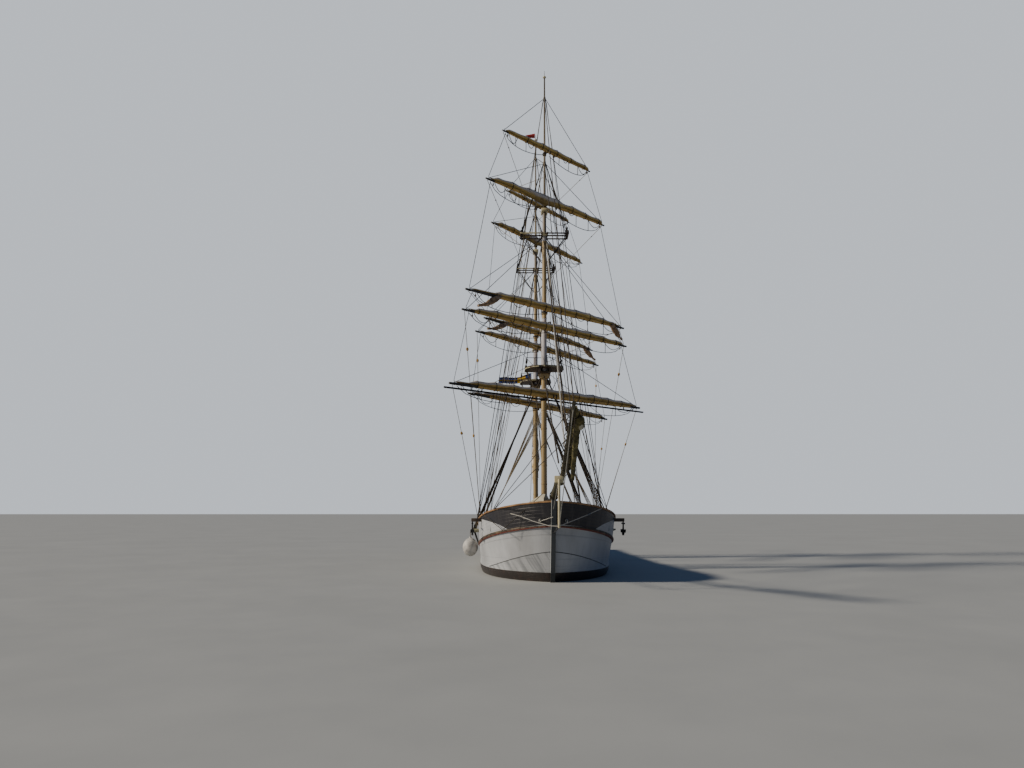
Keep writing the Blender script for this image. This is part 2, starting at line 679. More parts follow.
def deck_pine(name):
    # Scrubbed pine planks with tarred seams, silvered and dry
    material, tree, base, bump = weathered(
        name, ("#7d6a50", "#a08a69", "#b39d7c"), 700, 0.75, 1.0, (0.15, 1, 1))
    across = node(tree, "SeparateXYZ", {"Vector": node(tree, "TexCoord").outputs["Object"]}).outputs["Y"]
    width = bpy.context.scene.brig_sizes.deck_plank_width * SCALE
    layered(tree, base, [(seamed(tree, bump, across, width, 0.1, 0.002), "#1f1b17")])
    return material


def furled_canvas(name):
    # Weathered flax sailcloth: yellow-olive in front, pale lavender-grey on top, brown where it hangs damp
    material, tree, base, _ = weathered(name, ("#96803f", "#c3a65a", "canvas"), 260, 0.85, 5.0, (1, 0.5, 1))
    stain = node(tree, "Attribute", attribute_name="stain").outputs["Fac"]
    damp = node(tree, "Math", {0: stain, 1: patches(tree, (6, 6, 6), 0.25, 0.6, 1.0)}, operation="MULTIPLY")
    layered(tree, base, [(damp.outputs["Value"], "#806a42"), (facing(tree, "Z", -0.2, 0.12, 0.95), "#d6cabc"),
                         (facing(tree, "Z", -0.4, -0.8, 0.7), "#5a4b28")])
    return material


def plain(colours, spot_mm, roughness, bump_mm=1.0, stretch=(1, 1, 1), **shader):
    """A finish with no pattern beyond its own wandering shades."""
    return lambda name: weathered(name, colours, spot_mm, roughness, bump_mm, stretch, **shader)[0]


FINISHES = {
    "hull_enamel": hull_enamel,
    "stem_enamel": stem_enamel,
    "stained_wale": stained_wale,
    "deck_pine": deck_pine,
    "furled_canvas": furled_canvas,
    # Oiled oak rails, bright orange where the varnish holds and grey-brown where it has worn
    "oiled_oak": plain(("#5a452f", "#8f6b45", "#b39069"), 300, 0.5, 1.2, (0.12, 1, 1)),
    # Bulwark boards inside, thin pale grey paint
    "inner_paint": plain(("#8f9394", "#b4b7b6"), 500, 0.6, 1.0),
    # Ochre-cream spar paint over pine, streaked along the spar
    "spar_ochre": plain(("#6c5c3d", "#978259", "mast_paint"), 500, 0.45, 1.0, (1, 1, 0.1)),
    # The same paint on the yards, streaked along them and warmer where it is sheltered
    "yard_ochre": plain(("#8f7236", "#c29c50", "yard_paint"), 300, 0.5, 1.0, (0.3, 0.3, 1)),
    # Tallowed bare pine of the upper masts, darker and drier
    "slushed_pine": plain(("#433b2f", "#655a46", "#7d6f56"), 350, 0.5, 1.0, (1, 1, 0.1)),
    # Lavender-grey paint of mastheads and doublings
    "masthead_grey": plain(("#7c797c", "#a5a2a6", "#b9b5b6"), 300, 0.5, 1.0, (1, 1, 0.2)),
    # Jib-boom and bowsprit, varnish gone dark and olive with tar
    "tarred_pine": plain(("#25241a", "#45422e", "#6b6344"), 240, 0.5, 1.0, (0.12, 1, 1)),
    # Yardarms, blackened by tarred rigging
    "tarred_arm": plain(("#211f1e", "#3a3835", "#57524b"), 200, 0.6, 1.0),
    # Cathead beams, dark oiled oak
    "dark_oak": plain(("#231d18", "#3f3328", "#5b4a38"), 200, 0.55, 1.0),
    # Cream paint of crosstrees, caps and dolphin striker
    "cream_paint": plain(("#9a9073", "#c3b994", "#d2cba9"), 250, 0.5, 1.0),
    # Olive-cream painted planks of the tops
    "top_cream": plain(("#736e55", "#969173", "#aea985"), 200, 0.6, 1.0),
    # Stockholm-tarred hemp, near black with a dull brown sheen
    "tarred_hemp": plain(("#1b1813", "#322b22", "#4d4336"), 60, 0.8, 3.0),
    # Bare manila running rigging, grey-brown from weather
    "manila": plain(("#4a4234", "#6d6350", "#8a7f69"), 60, 0.85, 3.0),
    # New white polyester rope
    "white_rope": plain(("#9c9a92", "#bdbab0"), 60, 0.7, 2.0),
    # Olive-green proofed cotton of the stowed headsails
    "proofed_cotton": plain(("#2a2814", "#4b4626", "#7a7145"), 140, 0.9, 6.0),
    # Undyed cotton duck of the sail bag and the tarpaulins
    "cotton_duck": plain(("#8d8875", "#aaa591", "#c2bdab"), 160, 0.9, 4.0),
    # Wet flax of the clews, brown and twisted
    "damp_canvas": plain(("#63503c", "#957a5e", "#bba587"), 120, 0.85, 5.0),
    # Black-painted wrought iron
    "black_iron": plain(("#17181a", "#25272a", "#3a322c"), 80, 0.5, 0.6, Metallic=0.4),
    # Galvanised chain and wire, grey and dull
    "galvanised": plain(("#7b7c7d", "#a3a29c", "#b3ada0"), 60, 0.5, 0.5, Metallic=0.5),
    # Cast bronze, brown with a green tinge
    "cast_bronze": plain(("#4f4228", "#8a6a3a", "#a08050"), 90, 0.4, 0.5, Metallic=0.9),
    # Varnished ash of the blocks, orange-yellow
    "varnished_ash": plain(("#7b5826", "#b58a3e", "#caa25a"), 80, 0.45, 0.8),
    # Varnished mahogany of the deckhouse, skylight and wheel
    "mahogany": plain(("#4a2c1a", "#6e452a", "#8a5c3a"), 260, 0.35, 0.8, (1, 1, 0.15),
                      Coat_Weight=0.4, Coat_Roughness=0.15),
    # Off-white foam-filled fender with scuffs
    "fender_white": plain(("#7d7b78", "#b0aeaa", "#c6c4bf"), 200, 0.55, 2.0),
    # Window glass with a dark cabin behind it
    "dark_glass": plain(("#12171b", "#1c2328"), 400, 0.1, 0.2, Specular_IOR_Level=0.6),
    # Dyed wool bunting of the ensign and the wind sock
    "blue_bunting": plain(("#182a5e", "ensign_field"), 90, 0.85, 1.0),
    "yellow_bunting": plain(("#a88620", "ensign_cross"), 90, 0.85, 1.0),
    "red_bunting": plain(("#7c1f1c", "wind_sock"), 90, 0.85, 1.0),
}
made_finishes = {}


def finish(name):
    """The material of one finish, made when it is first asked for."""
    if name not in made_finishes:
        made_finishes[name] = FINISHES[name](name)
    return made_finishes[name]


# Stage
def build_stage():
    bpy.ops.object.select_all(action="DESELECT")
    bpy.ops.mesh.primitive_plane_add(size=900)
    floor = bpy.context.object
    floor.name = "floor"
    floor.data.materials.append(weathered("pale_floor", ("#a0a3a2", "#a8abaa"), 4000, 0.7, 0.1)[0])
    world = bpy.data.worlds.new("pale_sky")
    bpy.context.scene.world = world
    world.use_nodes = True
    tree = world.node_tree
    tree.nodes.clear()
    fill = node(tree, "Background", values={"Color": linear("#8fb0e6"), "Strength": 0.2})
    seen = node(tree, "Background", values={"Color": linear("#d5dbe3"), "Strength": 1.0})
    path = node(tree, "LightPath")
    mix = node(tree, "MixShader", {0: path.outputs["Is Camera Ray"], 1: fill.outputs[0], 2: seen.outputs[0]})
    node(tree, "OutputWorld", {"Surface": mix.outputs[0]})
    bpy.ops.object.light_add(type="SUN")
    sun = bpy.context.object
    sun.name = "key_light"
    sun.data.energy = SUN_STRENGTH
    sun.data.angle = math.radians(SUN_SPREAD)
    sun.data.color = linear("#fff2de")[:3]
    sun.rotation_euler = Vector(SUN_WAY).to_track_quat("-Z", "Y").to_euler()
    bpy.ops.object.camera_add()
    camera = bpy.context.object
    camera.location = Vector(CAMERA_AT) * SCALE
    camera.rotation_euler = (math.radians(90), 0, math.radians(90 - CAMERA_TURN))
    camera.data.lens = CAMERA_LENS
    camera.data.shift_y = CAMERA_SHIFT
    camera.data.clip_end = 2000
    bpy.context.scene.camera = camera


# Hull
# Rows of the planking from stern to stem: share of the length, and of the breadth
HULL_ROWS = [(0, 0), (0, 0.35), (0, 0.7),
             *((0.5 - 0.5 * math.cos(math.pi * i / 90), 1) for i in range(91)), (1, 0)]
GIRTH_STEPS = 28
CHAFE_AFT = 12.4


def band_line(x):
    """Height of the black band's lower edge, which rises aft of the bow above the wale."""
    rise = min(max((15.7 - x) / 3.7, 0), 1)
    return sheer(x) - 1.1 + 1.1 * rise ** 0.55


def chafe_line(y):
    """Height of the dark line that a mooring rope has worn across both bows."""
    return 1.61 - 0.08 * abs(y) - 0.07 * y * y


def build_hull():
    """Planking of both sides and the stern as one thin shell, with the lines that its paint follows."""
    rows = len(HULL_ROWS) - 1

    def place(u, v):
        t, share = HULL_ROWS[round(v * rows)]
        point = hull_between(RAIL_LEVEL * abs(1 - 2 * u), t)
        point.y *= share * (1 if u < 0.5 else -1)
        return point * SCALE

    obj = surface(place, 2 * GIRTH_STEPS, rows)
    mesh = obj.data
    girth = [0.0]
    for i in range(GIRTH_STEPS):
        a, b = (hull_between(RAIL_LEVEL * (1 - k / GIRTH_STEPS), WIDEST) for k in (i, i + 1))
        girth.append(girth[-1] + (a - b).length)
    uv = mesh.uv_layers[0].data
    for corner, loop in zip(uv, mesh.loops):
        step = round(corner.uv.x * 2 * GIRTH_STEPS)
        corner.uv = (mesh.vertices[loop.vertex_index].co.x / SCALE, girth[min(step, 2 * GIRTH_STEPS - step)])
    only(obj)
    bpy.ops.object.mode_set(mode="EDIT")
    bpy.ops.mesh.select_all(action="SELECT")
    bpy.ops.mesh.remove_doubles(threshold=1e-5)
    bpy.ops.mesh.normals_make_consistent(inside=False)
    bpy.ops.object.mode_set(mode="OBJECT")
    mesh.materials.append(finish("hull_enamel"))
    mesh.materials.append(finish("inner_paint"))
    wall = obj.modifiers.new("wall", "SOLIDIFY")
    wall.thickness = BULWARK_THICK * SCALE
    wall.material_offset = 1
    only(obj)
    bpy.ops.object.modifier_apply(modifier="wall")
    lines = {name: mesh.attributes.new(name, "FLOAT", "POINT").data
             for name in ("above_band", "below_boot", "chafe_line")}
    for i, vertex in enumerate(mesh.vertices):
        x, y, z = vertex.co / SCALE
        lines["above_band"][i].value = z - band_line(x)
        lines["below_boot"][i].value = BOOT_TOP - z
        lines["chafe_line"][i].value = z - chafe_line(y) + 20 * max(0, CHAFE_AFT - x)
    finished(obj, "hull_planking", "hull", None, 50,
             ("hull", "bulwark_port", "bulwark_starboard", "bulwark_stern"))


def moulding(level, section, rows=90):
    """Both sides of a rail or wale: a section of outward and upward offsets swept along a hull level."""
    parts = []
    for side in (PORT, STARBOARD):
        def place(u, v):
            point = hull_between(level, 0.5 - 0.5 * math.cos(math.pi * v))
            out, up = section[round(u * len(section)) % len(section)]
            return scaled(point.x, side * max(point.y + out, 0.0), point.z + up)

        parts.append(tidied(surface(place, len(section), rows)))
    return joined(parts)


def build_rails():
    finished(moulding(WALE_LEVEL, WALE_SECTION), "wales", "hull", "stained_wale", 30)
    aft = hull_point(RAIL_LEVEL, 0)
    taffrail = boxed((0.3, 2 * aft.y, 0.09), place_at(aft.x + 0.1, 0, aft.z + 0.045))
    rails = joined([moulding(RAIL_LEVEL, CAP_SECTION), taffrail])
    finished(rails, "cap_rails", "hull", "oiled_oak", 30, ("cap_rail",))
    xs = [TIMBERHEADS["aft"] + TIMBERHEADS["step"] * i for i in range(TIMBERHEADS["count"])]
    spots = [place_at(x, side * (rail_half(x) - BULWARK_THICK - 0.06), sheer(x) - DECK_DROP / 2)
             for side in (PORT, STARBOARD) for x in xs]
    posts = scattered(boxed((0.14, 0.14, DECK_DROP), Matrix()), spots)
    finished(posts, "timberheads", "hull", "inner_paint")


PIN_RAILS = {"fore": (4.6, 8.4), "main": (-8.4, -3.6)}  # x of their ends
PIN_STEP = 0.38


def build_pin_rails():
    """Pin rails inside the shrouds, with a belaying pin and a coil of rope for every line."""
    for mast, (aft, ahead) in PIN_RAILS.items():
        rails = []
        pins = []
        for side in (PORT, STARBOARD):
            xs = [aft + (ahead - aft) * i / 6 for i in range(7)]
            inner = [side * (rail_half(x) - BULWARK_THICK - 0.26) for x in xs]
            rails.append(shell([[(x, y, sheer(x) - 0.33), (x, y + side * 0.25, sheer(x) - 0.33),
                                 (x, y + side * 0.25, sheer(x) - 0.26), (x, y, sheer(x) - 0.26)]
                                for x, y in zip(xs, inner)]))
            xs = [aft + 0.2 + PIN_STEP * i for i in range(int((ahead - aft) / PIN_STEP))]
            pins += [place_at(x, side * (rail_half(x) - BULWARK_THICK - 0.14), sheer(x) - 0.3) for x in xs]
        finished(joined(rails), f"{mast}_pin_rails", "hull", "mahogany", 30)
        stations = [(0, 0.018), (0.2, 0.02), (0.21, 0.03), (0.3, 0.035), (0.4, 0.02)]
        pin = turned(stations, scaled(0, 0, -0.2), scaled(0, 0, 0.2), 8)
        finished(scattered(pin, pins), f"{mast}_belaying_pins", "hull", "mahogany")
        coil = joined([ring(place_at(0, 0, -0.2 - 0.03 * k, 90, "X"), 0.1 + 0.02 * k, 0.03, None, 12)
                       for k in (0, 1)])
        coils = scattered(coil, [spot @ place_at(0, -0.05, 0) for spot in pins])
        finished(coils, f"{mast}_rope_coils", "hull", "manila")


CATHEAD_X = 12.6
FENDER = (6, -4.69, 1.37)  # its middle


def build_anchors():
    """Catheads, each with its anchor hung from it."""
    for name, side in SIDES.items():
        y, z = side * (rail_half(CATHEAD_X) + 0.5), sheer(CATHEAD_X) - 0.16
        beam = boxed((0.2, 0.62, 0.2), place_at(CATHEAD_X, y - side * 0.25, z), 0.012)
        finished(beam, f"cathead_{name}", "hull", "dark_oak")
        crown = z - 0.85
        shackle = scaled(CATHEAD_X, y, z - 0.09)
        stock = [scaled(CATHEAD_X + reach, y, z - 0.2) for reach in (-0.4, 0.4)]
        arms = [scaled(CATHEAD_X + 0.36 * s, y, crown + 0.22 * s * s)
                for s in (-1, -0.75, -0.5, -0.25, 0, 0.25, 0.5, 0.75, 1)]
        parts = [bar(scaled(CATHEAD_X, y, crown - 0.03), shackle, 0.06, 0.035), bar(*stock, 0.035),
                 ropes([arms], 0.045, 2)]
        for way in (-1, 1):
            parts.append(ball(place_at(CATHEAD_X + way * 0.4, y, z - 0.2), (0.05, 0.05, 0.05), 10))
            fluke = place_at(CATHEAD_X + way * 0.34, y, crown + 0.22, way * 30, "Y")
            parts.append(boxed((0.05, 0.2, 0.2), fluke, 0.006))
        parts.append(ring(Matrix.Translation(shackle) @ QUARTER_TURN, 0.07, 0.018))
        finished(joined(parts), f"anchor_{name}", "hull", "black_iron")


def build_fender():
    """The ball fender that hangs under the starboard fore channel."""
    x, y, z = FENDER
    body = ball(place_at(x, y, z), (0.5, 0.5, 0.6), 28)
    neck = bar(scaled(x, y, z + 0.55), scaled(x, y, z + 0.68), 0.09, 0.07)
    finished(joined([body, neck]), "ball_fender", "hull", "fender_white", 60)
    rope = ropes([[scaled(x, y, z + 0.65), scaled(x, y, sheer(x) - 0.4)]], 0.022)
    finished(rope, "fender_rope", "hull", "manila")


# Masts
def band(z, radius, swell, half):
    """Stations of a raised step round a spar, from its height and half its own height."""
    return [(z - half, radius), (z - half, radius + swell), (z + half, radius + swell), (z + half, radius)]


def hooped(radius_at, low, high, hoops):
    """Stations of a tapered spar with raised steps, each a height, its swell and half its height."""
    stations = [(low, radius_at(low))]
    for z, swell, half in sorted(hoops):
        stations += band(z, radius_at(z), swell, half)
    return stations + [(high, radius_at(high))]


def yard_bands(mast, spar):
    """Iron bands under the collars of the yards that turn on one spar."""
    return [(yard.z + yard.lift - COLLAR_HALF - 0.026, 0.05, 0.025)
            for yard in YARD_LIST if yard.mast == mast and yard.spar == spar]


def repainted(obj, matrix, low, high, material, axis=2):
    """Gives the stretch of a spar between two places along an axis of a matrix another finish."""
    obj.data.materials.append(finish(material))
    last = len(obj.data.materials) - 1
    back = matrix.inverted()
    for face in obj.data.polygons:
        if low < (back @ face.center)[axis] / SCALE < high:
            face.material_index = last
    return obj


def mast_block(mast, ahead, z, size, finish_name, side=0.0, bevel=0.01):
    return painted(boxed(size, mast_frame(mast) @ place_at(ahead, side, z), bevel), finish_name)


def build_lower_mast(mast):
    places = MASTS[mast]
    top, cap = places["top"], places["cap"]
    deck = deck_z(places["x"]) + 0.002
    hoops = [(deck + HOOP_STEP * i, 0.012, 0.04) for i in range(1, 9) if deck + HOOP_STEP * i < top - 1]
    stations = [(deck, 0.3), (deck + 0.14, 0.26)]
    stations += hooped(lambda z: spar_radius(mast, "lower", z), deck + 0.15, top - 0.62,
                       hoops + yard_bands(mast, "lower"))
    stations += [(top - 0.6, 0.3), (top - 0.38, 0.38), (top - 0.355, 0.38), (top - 0.35, 0.19),
                 (cap + 0.1, 0.16)]
    spar = turned(stations, on_mast(mast, "lower", 0), on_mast(mast, "lower", 1), 28)
    repainted(painted(spar, "spar_ochre"), mast_frame(mast), top - 0.3, cap + 1, "masthead_grey")
    parts = [spar, mast_block(mast, 0.205, cap, (0.93, 0.48, 0.2), "cream_paint")]
    if mast == "main":
        for z, *_ in SPANKER.values():
            parts.append(mast_block(mast, -0.31, z - 0.21, (0.52, 0.2, 0.1), "black_iron"))
    finished(joined(parts), f"{mast}_lower_spar", "hull", None, 35, (f"{mast}_lower_mast",))


def build_topmast(mast):
    places = MASTS[mast]
    trees, cap = places["trees"], places["cap"]
    low, high = spar_range(mast, "topmast")
    hoops = yard_bands(mast, "topmast") + [(cap + 0.62, 0.012, 0.03), (trees - 0.4, 0.015, 0.05)]
    stations = hooped(lambda z: spar_radius(mast, "topmast", z), low, high, hoops)
    spar = turned(stations, on_mast(mast, "topmast", 0), on_mast(mast, "topmast", 1), 24)
    repainted(painted(spar, "spar_ochre"), mast_frame(mast), low - 1, cap + 0.6, "masthead_grey")
    repainted(spar, mast_frame(mast), trees, high + 1, "masthead_grey")
    parts = [spar, mast_block(mast, 0.595, places["topmast_cap"], (0.81, 0.4, 0.18), "cream_paint"),
             mast_block(mast, 0.78, trees, (0.28, 0.42, 0.12), "cream_paint")]
    for ahead in TREE_BARS:
        lit = "cream_paint" if ahead == TREE_BARS[-1] else "dark_oak"
        for side, paint in ((STARBOARD, lit), (PORT, "dark_oak")):
            parts.append(mast_block(mast, 0.45 + ahead, trees, (0.08, 1.5, 0.08), paint, side * 0.75))
    for side in (PORT, STARBOARD):
        parts.append(mast_block(mast, 0.5, trees - 0.02, (1.2, 0.08, 0.12), "dark_oak", side * 0.17))
        parts.append(mast_block(mast, 0.45, trees + 0.02, (1.06, 0.07, 0.05), "dark_oak", side * 1.47))
    finished(joined(parts), f"{mast}_topmast_spar", "hull", None, 35, (f"{mast}_topmast",))


def build_topgallant_mast(mast):
    places = MASTS[mast]
    low, high = spar_range(mast, "topgallant")
    hoops = yard_bands(mast, "topgallant") + [(places[key], 0.02, 0.04) for key in ("shoulder", "hounds")]
    stations = hooped(lambda z: spar_radius(mast, "topgallant", z), low, high - 0.12, hoops)
    stations += [(high - 0.1, 0.05), (high - 0.08, 0.1), (high - 0.02, 0.1), (high, 0.05),
                 (high + 0.01, 0.018), (high + SPIKE, 0.01)]
    spar = turned(stations, on_mast(mast, "topgallant", 0), on_mast(mast, "topgallant", 1), 18)
    repainted(painted(spar, "slushed_pine"), mast_frame(mast), high - 0.11, high + 0.02, "cream_paint")
    finished(spar, f"{mast}_topgallant_pole", "hull", None, 35, (f"{mast}_topgallant_mast",))


def build_top_rail(mast):
    """Rim of the top, and the iron rail on its after edge."""
    places = mast_frame(mast)
    top = MASTS[mast]["top"]
    edge = [*TOP_EDGE, *((x, -y) for x, y in reversed(TOP_EDGE)), TOP_EDGE[0]]
    rim = ropes([[places @ scaled(x * 0.985, y * 0.985, top + 0.02) for x, y in edge]], 0.018, 1)
    finished(rim, f"{mast}_top_rim", "hull", "dark_oak", 60)
    rail = [[places @ scaled(-0.7, y, top + up) for up in (0, 0.85)] for y in (-1.1, -0.55, 0.55, 1.1)]
    rail.append([places @ scaled(-0.7, y, top + 0.85) for y in (-1.1, 1.1)])
    finished(ropes(rail, 0.02), f"{mast}_top_railing", "hull", "black_iron")


# Yards and furled sails
def build_yard(yard):
    """A yard with its sling and arm bands, and the slim boom under the fore course yard."""
    stations = [(i * 0.125 * yard.half, yard.radius_at(i * 0.125 - 1)) for i in range(17)]
    for share in (-0.955, -0.5, 0.5, 0.955):
        z = (share + 1) * yard.half
        radius = yard.radius_at(share)
        stations += [(z - 0.03, radius), (z - 0.029, radius + 0.012), (z + 0.029, radius + 0.012),
                     (z + 0.03, radius)]
    spar = painted(turned(sorted(stations), yard.at(-1), yard.at(1), 18), "yard_ochre")
    starboard_end, port_end = (share * yard.half for share in SAIL_ENDS[yard.kind])
    repainted(spar, yard.frame, port_end, 99, "tarred_arm", 1)
    repainted(spar, yard.frame, -99, starboard_end, "tarred_arm", 1)
    parts = [spar]
    if yard.name == "fore_course":
        half, drop = SLIM_BOOM["half"], SLIM_BOOM["drop"]
        ends = [yard.local(yard.ahead, side * half, -drop) for side in (-1, 1)]
        parts.append(painted(bar(*ends, SLIM_BOOM["radius"]), "black_iron"))
        for share in SLIM_BOOM["hangers"]:
            spot = yard.frame @ place_at(yard.ahead, share * yard.half, -drop / 2)
            parts.append(painted(boxed((0.07, 0.05, drop), spot), "black_iron"))
    finished(joined(parts), f"{yard.name}_spar", yard.body, None, 35, (yard.body,))


def build_yard_irons(yard):
    """Collar and truss that hold a yard to its mast, its sling bands and the eyes on its arms."""
    bore = spar_radius(yard.mast, yard.spar, yard.z) + 0.012
    elbow = yard.local(CRANE_REACH, 0, yard.lift) if yard.lift else yard.local(bore + 0.04, 0, 0)
    irons = [ring(yard.frame @ place_at(0, 0, yard.lift), bore + 0.025, 0.024, COLLAR_HALF),
             bar(yard.local(bore + 0.02, 0, yard.lift), elbow, 0.045),
             bar(elbow, yard.at(0), 0.045)]
    for side in (PORT, STARBOARD):
        sling = yard.frame @ place_at(yard.ahead, side * 0.12, 0, 90, "X")
        irons.append(ring(sling, yard.radius + 0.01, 0.018, 0.035, 16))
        eye = yard.frame @ place_at(yard.ahead, side * 0.955 * yard.half, yard.radius_at(0.955) + 0.05)
        irons.append(ring(eye @ QUARTER_TURN, 0.04, 0.012, None, 12))
    finished(joined(irons), f"{yard.name}_irons", yard.body, "black_iron")


def build_sail(yard):
    step = bpy.context.scene.brig_sizes.gasket_step

    def place(u, v):
        share = (2 * v - 1) * 0.95
        high, wide, middle, lead = yard.bundle(share, step)
        turn = 2 * math.pi * u
        ahead, up = math.cos(turn), math.sin(turn)
        seed = len(yard.name) + yard.z
        crease = 1 + 0.12 * noise.noise(Vector((share * yard.half * 0.8, 2.2 * ahead + seed, 2.2 * up)))
        crease += 0.07 * noise.noise(Vector((share * yard.half * 3.5, 4 * ahead + seed, 4 * up)))
        return yard.at(share, lead + wide * ahead * crease, middle + high * up * crease)

    obj = tidied(surface(place, 22, 140))
    stain = obj.data.attributes.new("stain", "FLOAT", "POINT")
    back = yard.frame.inverted()
    for i, vertex in enumerate(obj.data.vertices):
        share = (back @ vertex.co).y / SCALE / yard.half
        stain.data[i].value = min(1, STAIN[yard.kind] + 2.5 * yard.deep(share))
    finished(obj, f"{yard.name}_furled_sail", None, "furled_canvas", 60,
             (f"{yard.name}_sail",))
    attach(obj, yard.body)


def build_gaskets(yard):
    """Gaskets passed twice about the yard and its sail."""
    step = bpy.context.scene.brig_sizes.gasket_step
    count = int(0.93 * yard.half / step)
    bands = []
    for i in range(-count, count + 1):
        share = (i + 0.5) * step / yard.half
        if abs(share) > 0.93:
            continue
        high, wide, middle, lead = yard.bundle(share, step)
        top, bottom = middle + high + 0.012, -yard.radius_at(share) - 0.012
        across = max(wide, yard.radius_at(share)) + 0.02
        band = []
        for k in range(33):
            turn = 4 * math.pi * k / 32
            ahead, up = math.cos(turn), math.sin(turn)
            ahead = math.copysign(abs(ahead) ** 0.8, ahead) * across + lead * (0.5 + 0.5 * up)
            up = (top + bottom) / 2 + (top - bottom) / 2 * up
            band.append(yard.at(share + 0.035 * k / 32 / yard.half, ahead, up))
        bands.append(band)
    roped(bands, 0.013, f"{yard.name}_gaskets", yard.body)


CLEWS = {PORT: (0.8, 0.92), STARBOARD: (-0.64, -0.85)}  # shares on the upper and on the lower topsail yard


def build_clews(yard):
    """Clews of an upper topsail, hauled down in a twist towards the arms of the yard below it."""
    below = yard_below(yard)
    for name, side in SIDES.items():
        upper, lower = CLEWS[side]
        start = yard.at(upper, 0.14, 0.02) / SCALE
        end = below.at(lower, 0.12, 0.36) / SCALE

        def middle(v):
            return start.lerp(end, v) + Vector((0, 0, -0.1)) * math.sin(math.pi * v)

        def radius(v):
            return 0.07 + 0.11 * math.sin(math.pi * min(1, v + 0.2))

        clew = cloth_roll(middle, radius, 24, 0.45, 14, 2 + side)
        finished(clew, f"{yard.name}_clew_{name}", None, "damp_canvas", 60)
        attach(clew, yard.body)


def rope_block(matrix, finish_name):
    """A wooden block, laid by a matrix."""
    return painted(ball(matrix, (0.085, 0.06, 0.13), 10), finish_name)


def build_footropes(yard):
    """Footropes behind a yard with their stirrups, and the slack lines in front of it."""
    lines = []
    for side in (PORT, STARBOARD):
        outer, inner = side * 0.93, side * 0.04
        depth = 0.62 if yard.half > 5 else 0.45
        foot = []
        for k in range(13):
            t = k / 12
            share = outer + (inner - outer) * t
            sag = depth * 4 * t ** 0.7 * (1 - t ** 0.7)
            foot.append(yard.at(share, -0.04 - 0.05 * t, -0.1 - 0.1 * t - sag))
        lines.append(foot)
        for k in (3, 6, 9):
            lines.append([yard.at(outer + (inner - outer) * k / 12, -0.05, 0), foot[k]])
    for a, b, depth in ((0.9, 0.66, 0.4), (0.42, 0.3, 0.22), (-0.35, -0.5, 0.3), (-0.7, -0.9, 0.5)):
        lines.append(sagging(yard.at(a, 0.1, -0.05), yard.at(b, 0.12, -0.05), depth))
    roped(lines, 0.02, f"{yard.name}_footropes", yard.body)


def build_lifts_and_braces(yard):
    """Lifts from the mast and braces to the rail or the other mast, which follow the yard as it turns."""
    spar, place = LIFT_HEADS[yard.kind]
    drop = 1.05 if yard.kind == "course" else 0.1
    lead = BRACE_FEET[yard.mast][yard.kind]
    bulky = yard.kind in ("course", "lower_topsail")
    for name, side in SIDES.items():
        head = on_mast(yard.mast, spar, MASTS[yard.mast][place] - drop, side * 0.08)
        arm = yard.at(side * 0.95, 0, 0.1)
        lift = ropes([straight(head, arm, 14)], 0.018)
        finished(lift, f"{yard.name}_lift_{name}", None, "tarred_hemp")
        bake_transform(lift)
        foot = on_mast(*lead, side * 0.09) if isinstance(lead, tuple) else rail_point(lead, side, 0.05, 0.05)
        arm = yard.at(side * 0.97, -0.05, -0.05)
        block_at = arm.lerp(foot, 0.3 if yard.kind == "course" else 0.14)
        lines = [straight(foot, block_at, 20), straight(block_at, arm, 8)]
        if yard.kind == "course":
            lines.append(straight(foot + scaled(0.4, 0, 0), block_at, 20))
        block = rope_block(along(block_at, arm) @ Matrix.Scale(1.0 if bulky else 0.5, 4),
                           "varnished_ash" if bulky else "dark_oak")
        brace = joined([painted(ropes(lines, 0.016), "manila"), block])
        finished(brace, f"{yard.name}_brace_{name}", None, None)
        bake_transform(brace)


def yard_below(yard):
    """The next yard down the same mast."""
    kinds = list(YARD_KINDS)
    kind = kinds[kinds.index(yard.kind) - 1]
    return next(each for each in YARD_LIST if each.mast == yard.mast and each.kind == kind)


def build_sheets(yard):
    """Sheets from the arms of a yard to those of the yard below it, which turn with the upper one."""
    below = yard_below(yard)
    lines = [[yard.at(side * 0.93, 0, -0.08), below.at(side * 0.96, 0, 0.16)] for side in (PORT, STARBOARD)]
    roped(lines, 0.016, f"{yard.name}_sheets", yard.body)


def build_yard_blocks(yard):
    """Blocks under a yard for its clew-lines and sheets, with their short tails."""
    drop = yard.radius + 0.12
    blocks = []
    tails = []
    for share, ahead in ((-0.9, 0.05), (-0.1, 0.12), (0.1, 0.12), (0.9, 0.05)):
        spot = yard.frame @ place_at(yard.ahead + ahead, share * yard.half, -drop)
        blocks.append(rope_block(spot @ Matrix.Scale(0.6, 4), "dark_oak"))
        tails.append([yard.at(share, ahead, -0.03), yard.at(share, ahead, -drop)])
    blocks.append(painted(ropes(tails, 0.016), "tarred_hemp"))
    finished(joined(blocks), f"{yard.name}_blocks", yard.body, None)


# Standing rigging
def shroud_lines(mast, side):
    """Lower shrouds of one side, each from its foot on the channel to the masthead."""
    head_z = MASTS[mast]["top"] - SHROUDS["below_top"]
    head = on_mast(mast, "lower", head_z, side * 0.12)
    first = on_mast(mast, "lower", head_z).x / SCALE - SHROUDS["first"]
    return [(on_channel(first - SHROUDS["step"] * i, side), head) for i in range(SHROUDS["count"])]


def on_channel(x, side):
    return scaled(x, side * (rail_half(x) + SHROUDS["foot"]), sheer(x) - SHROUDS["below"])


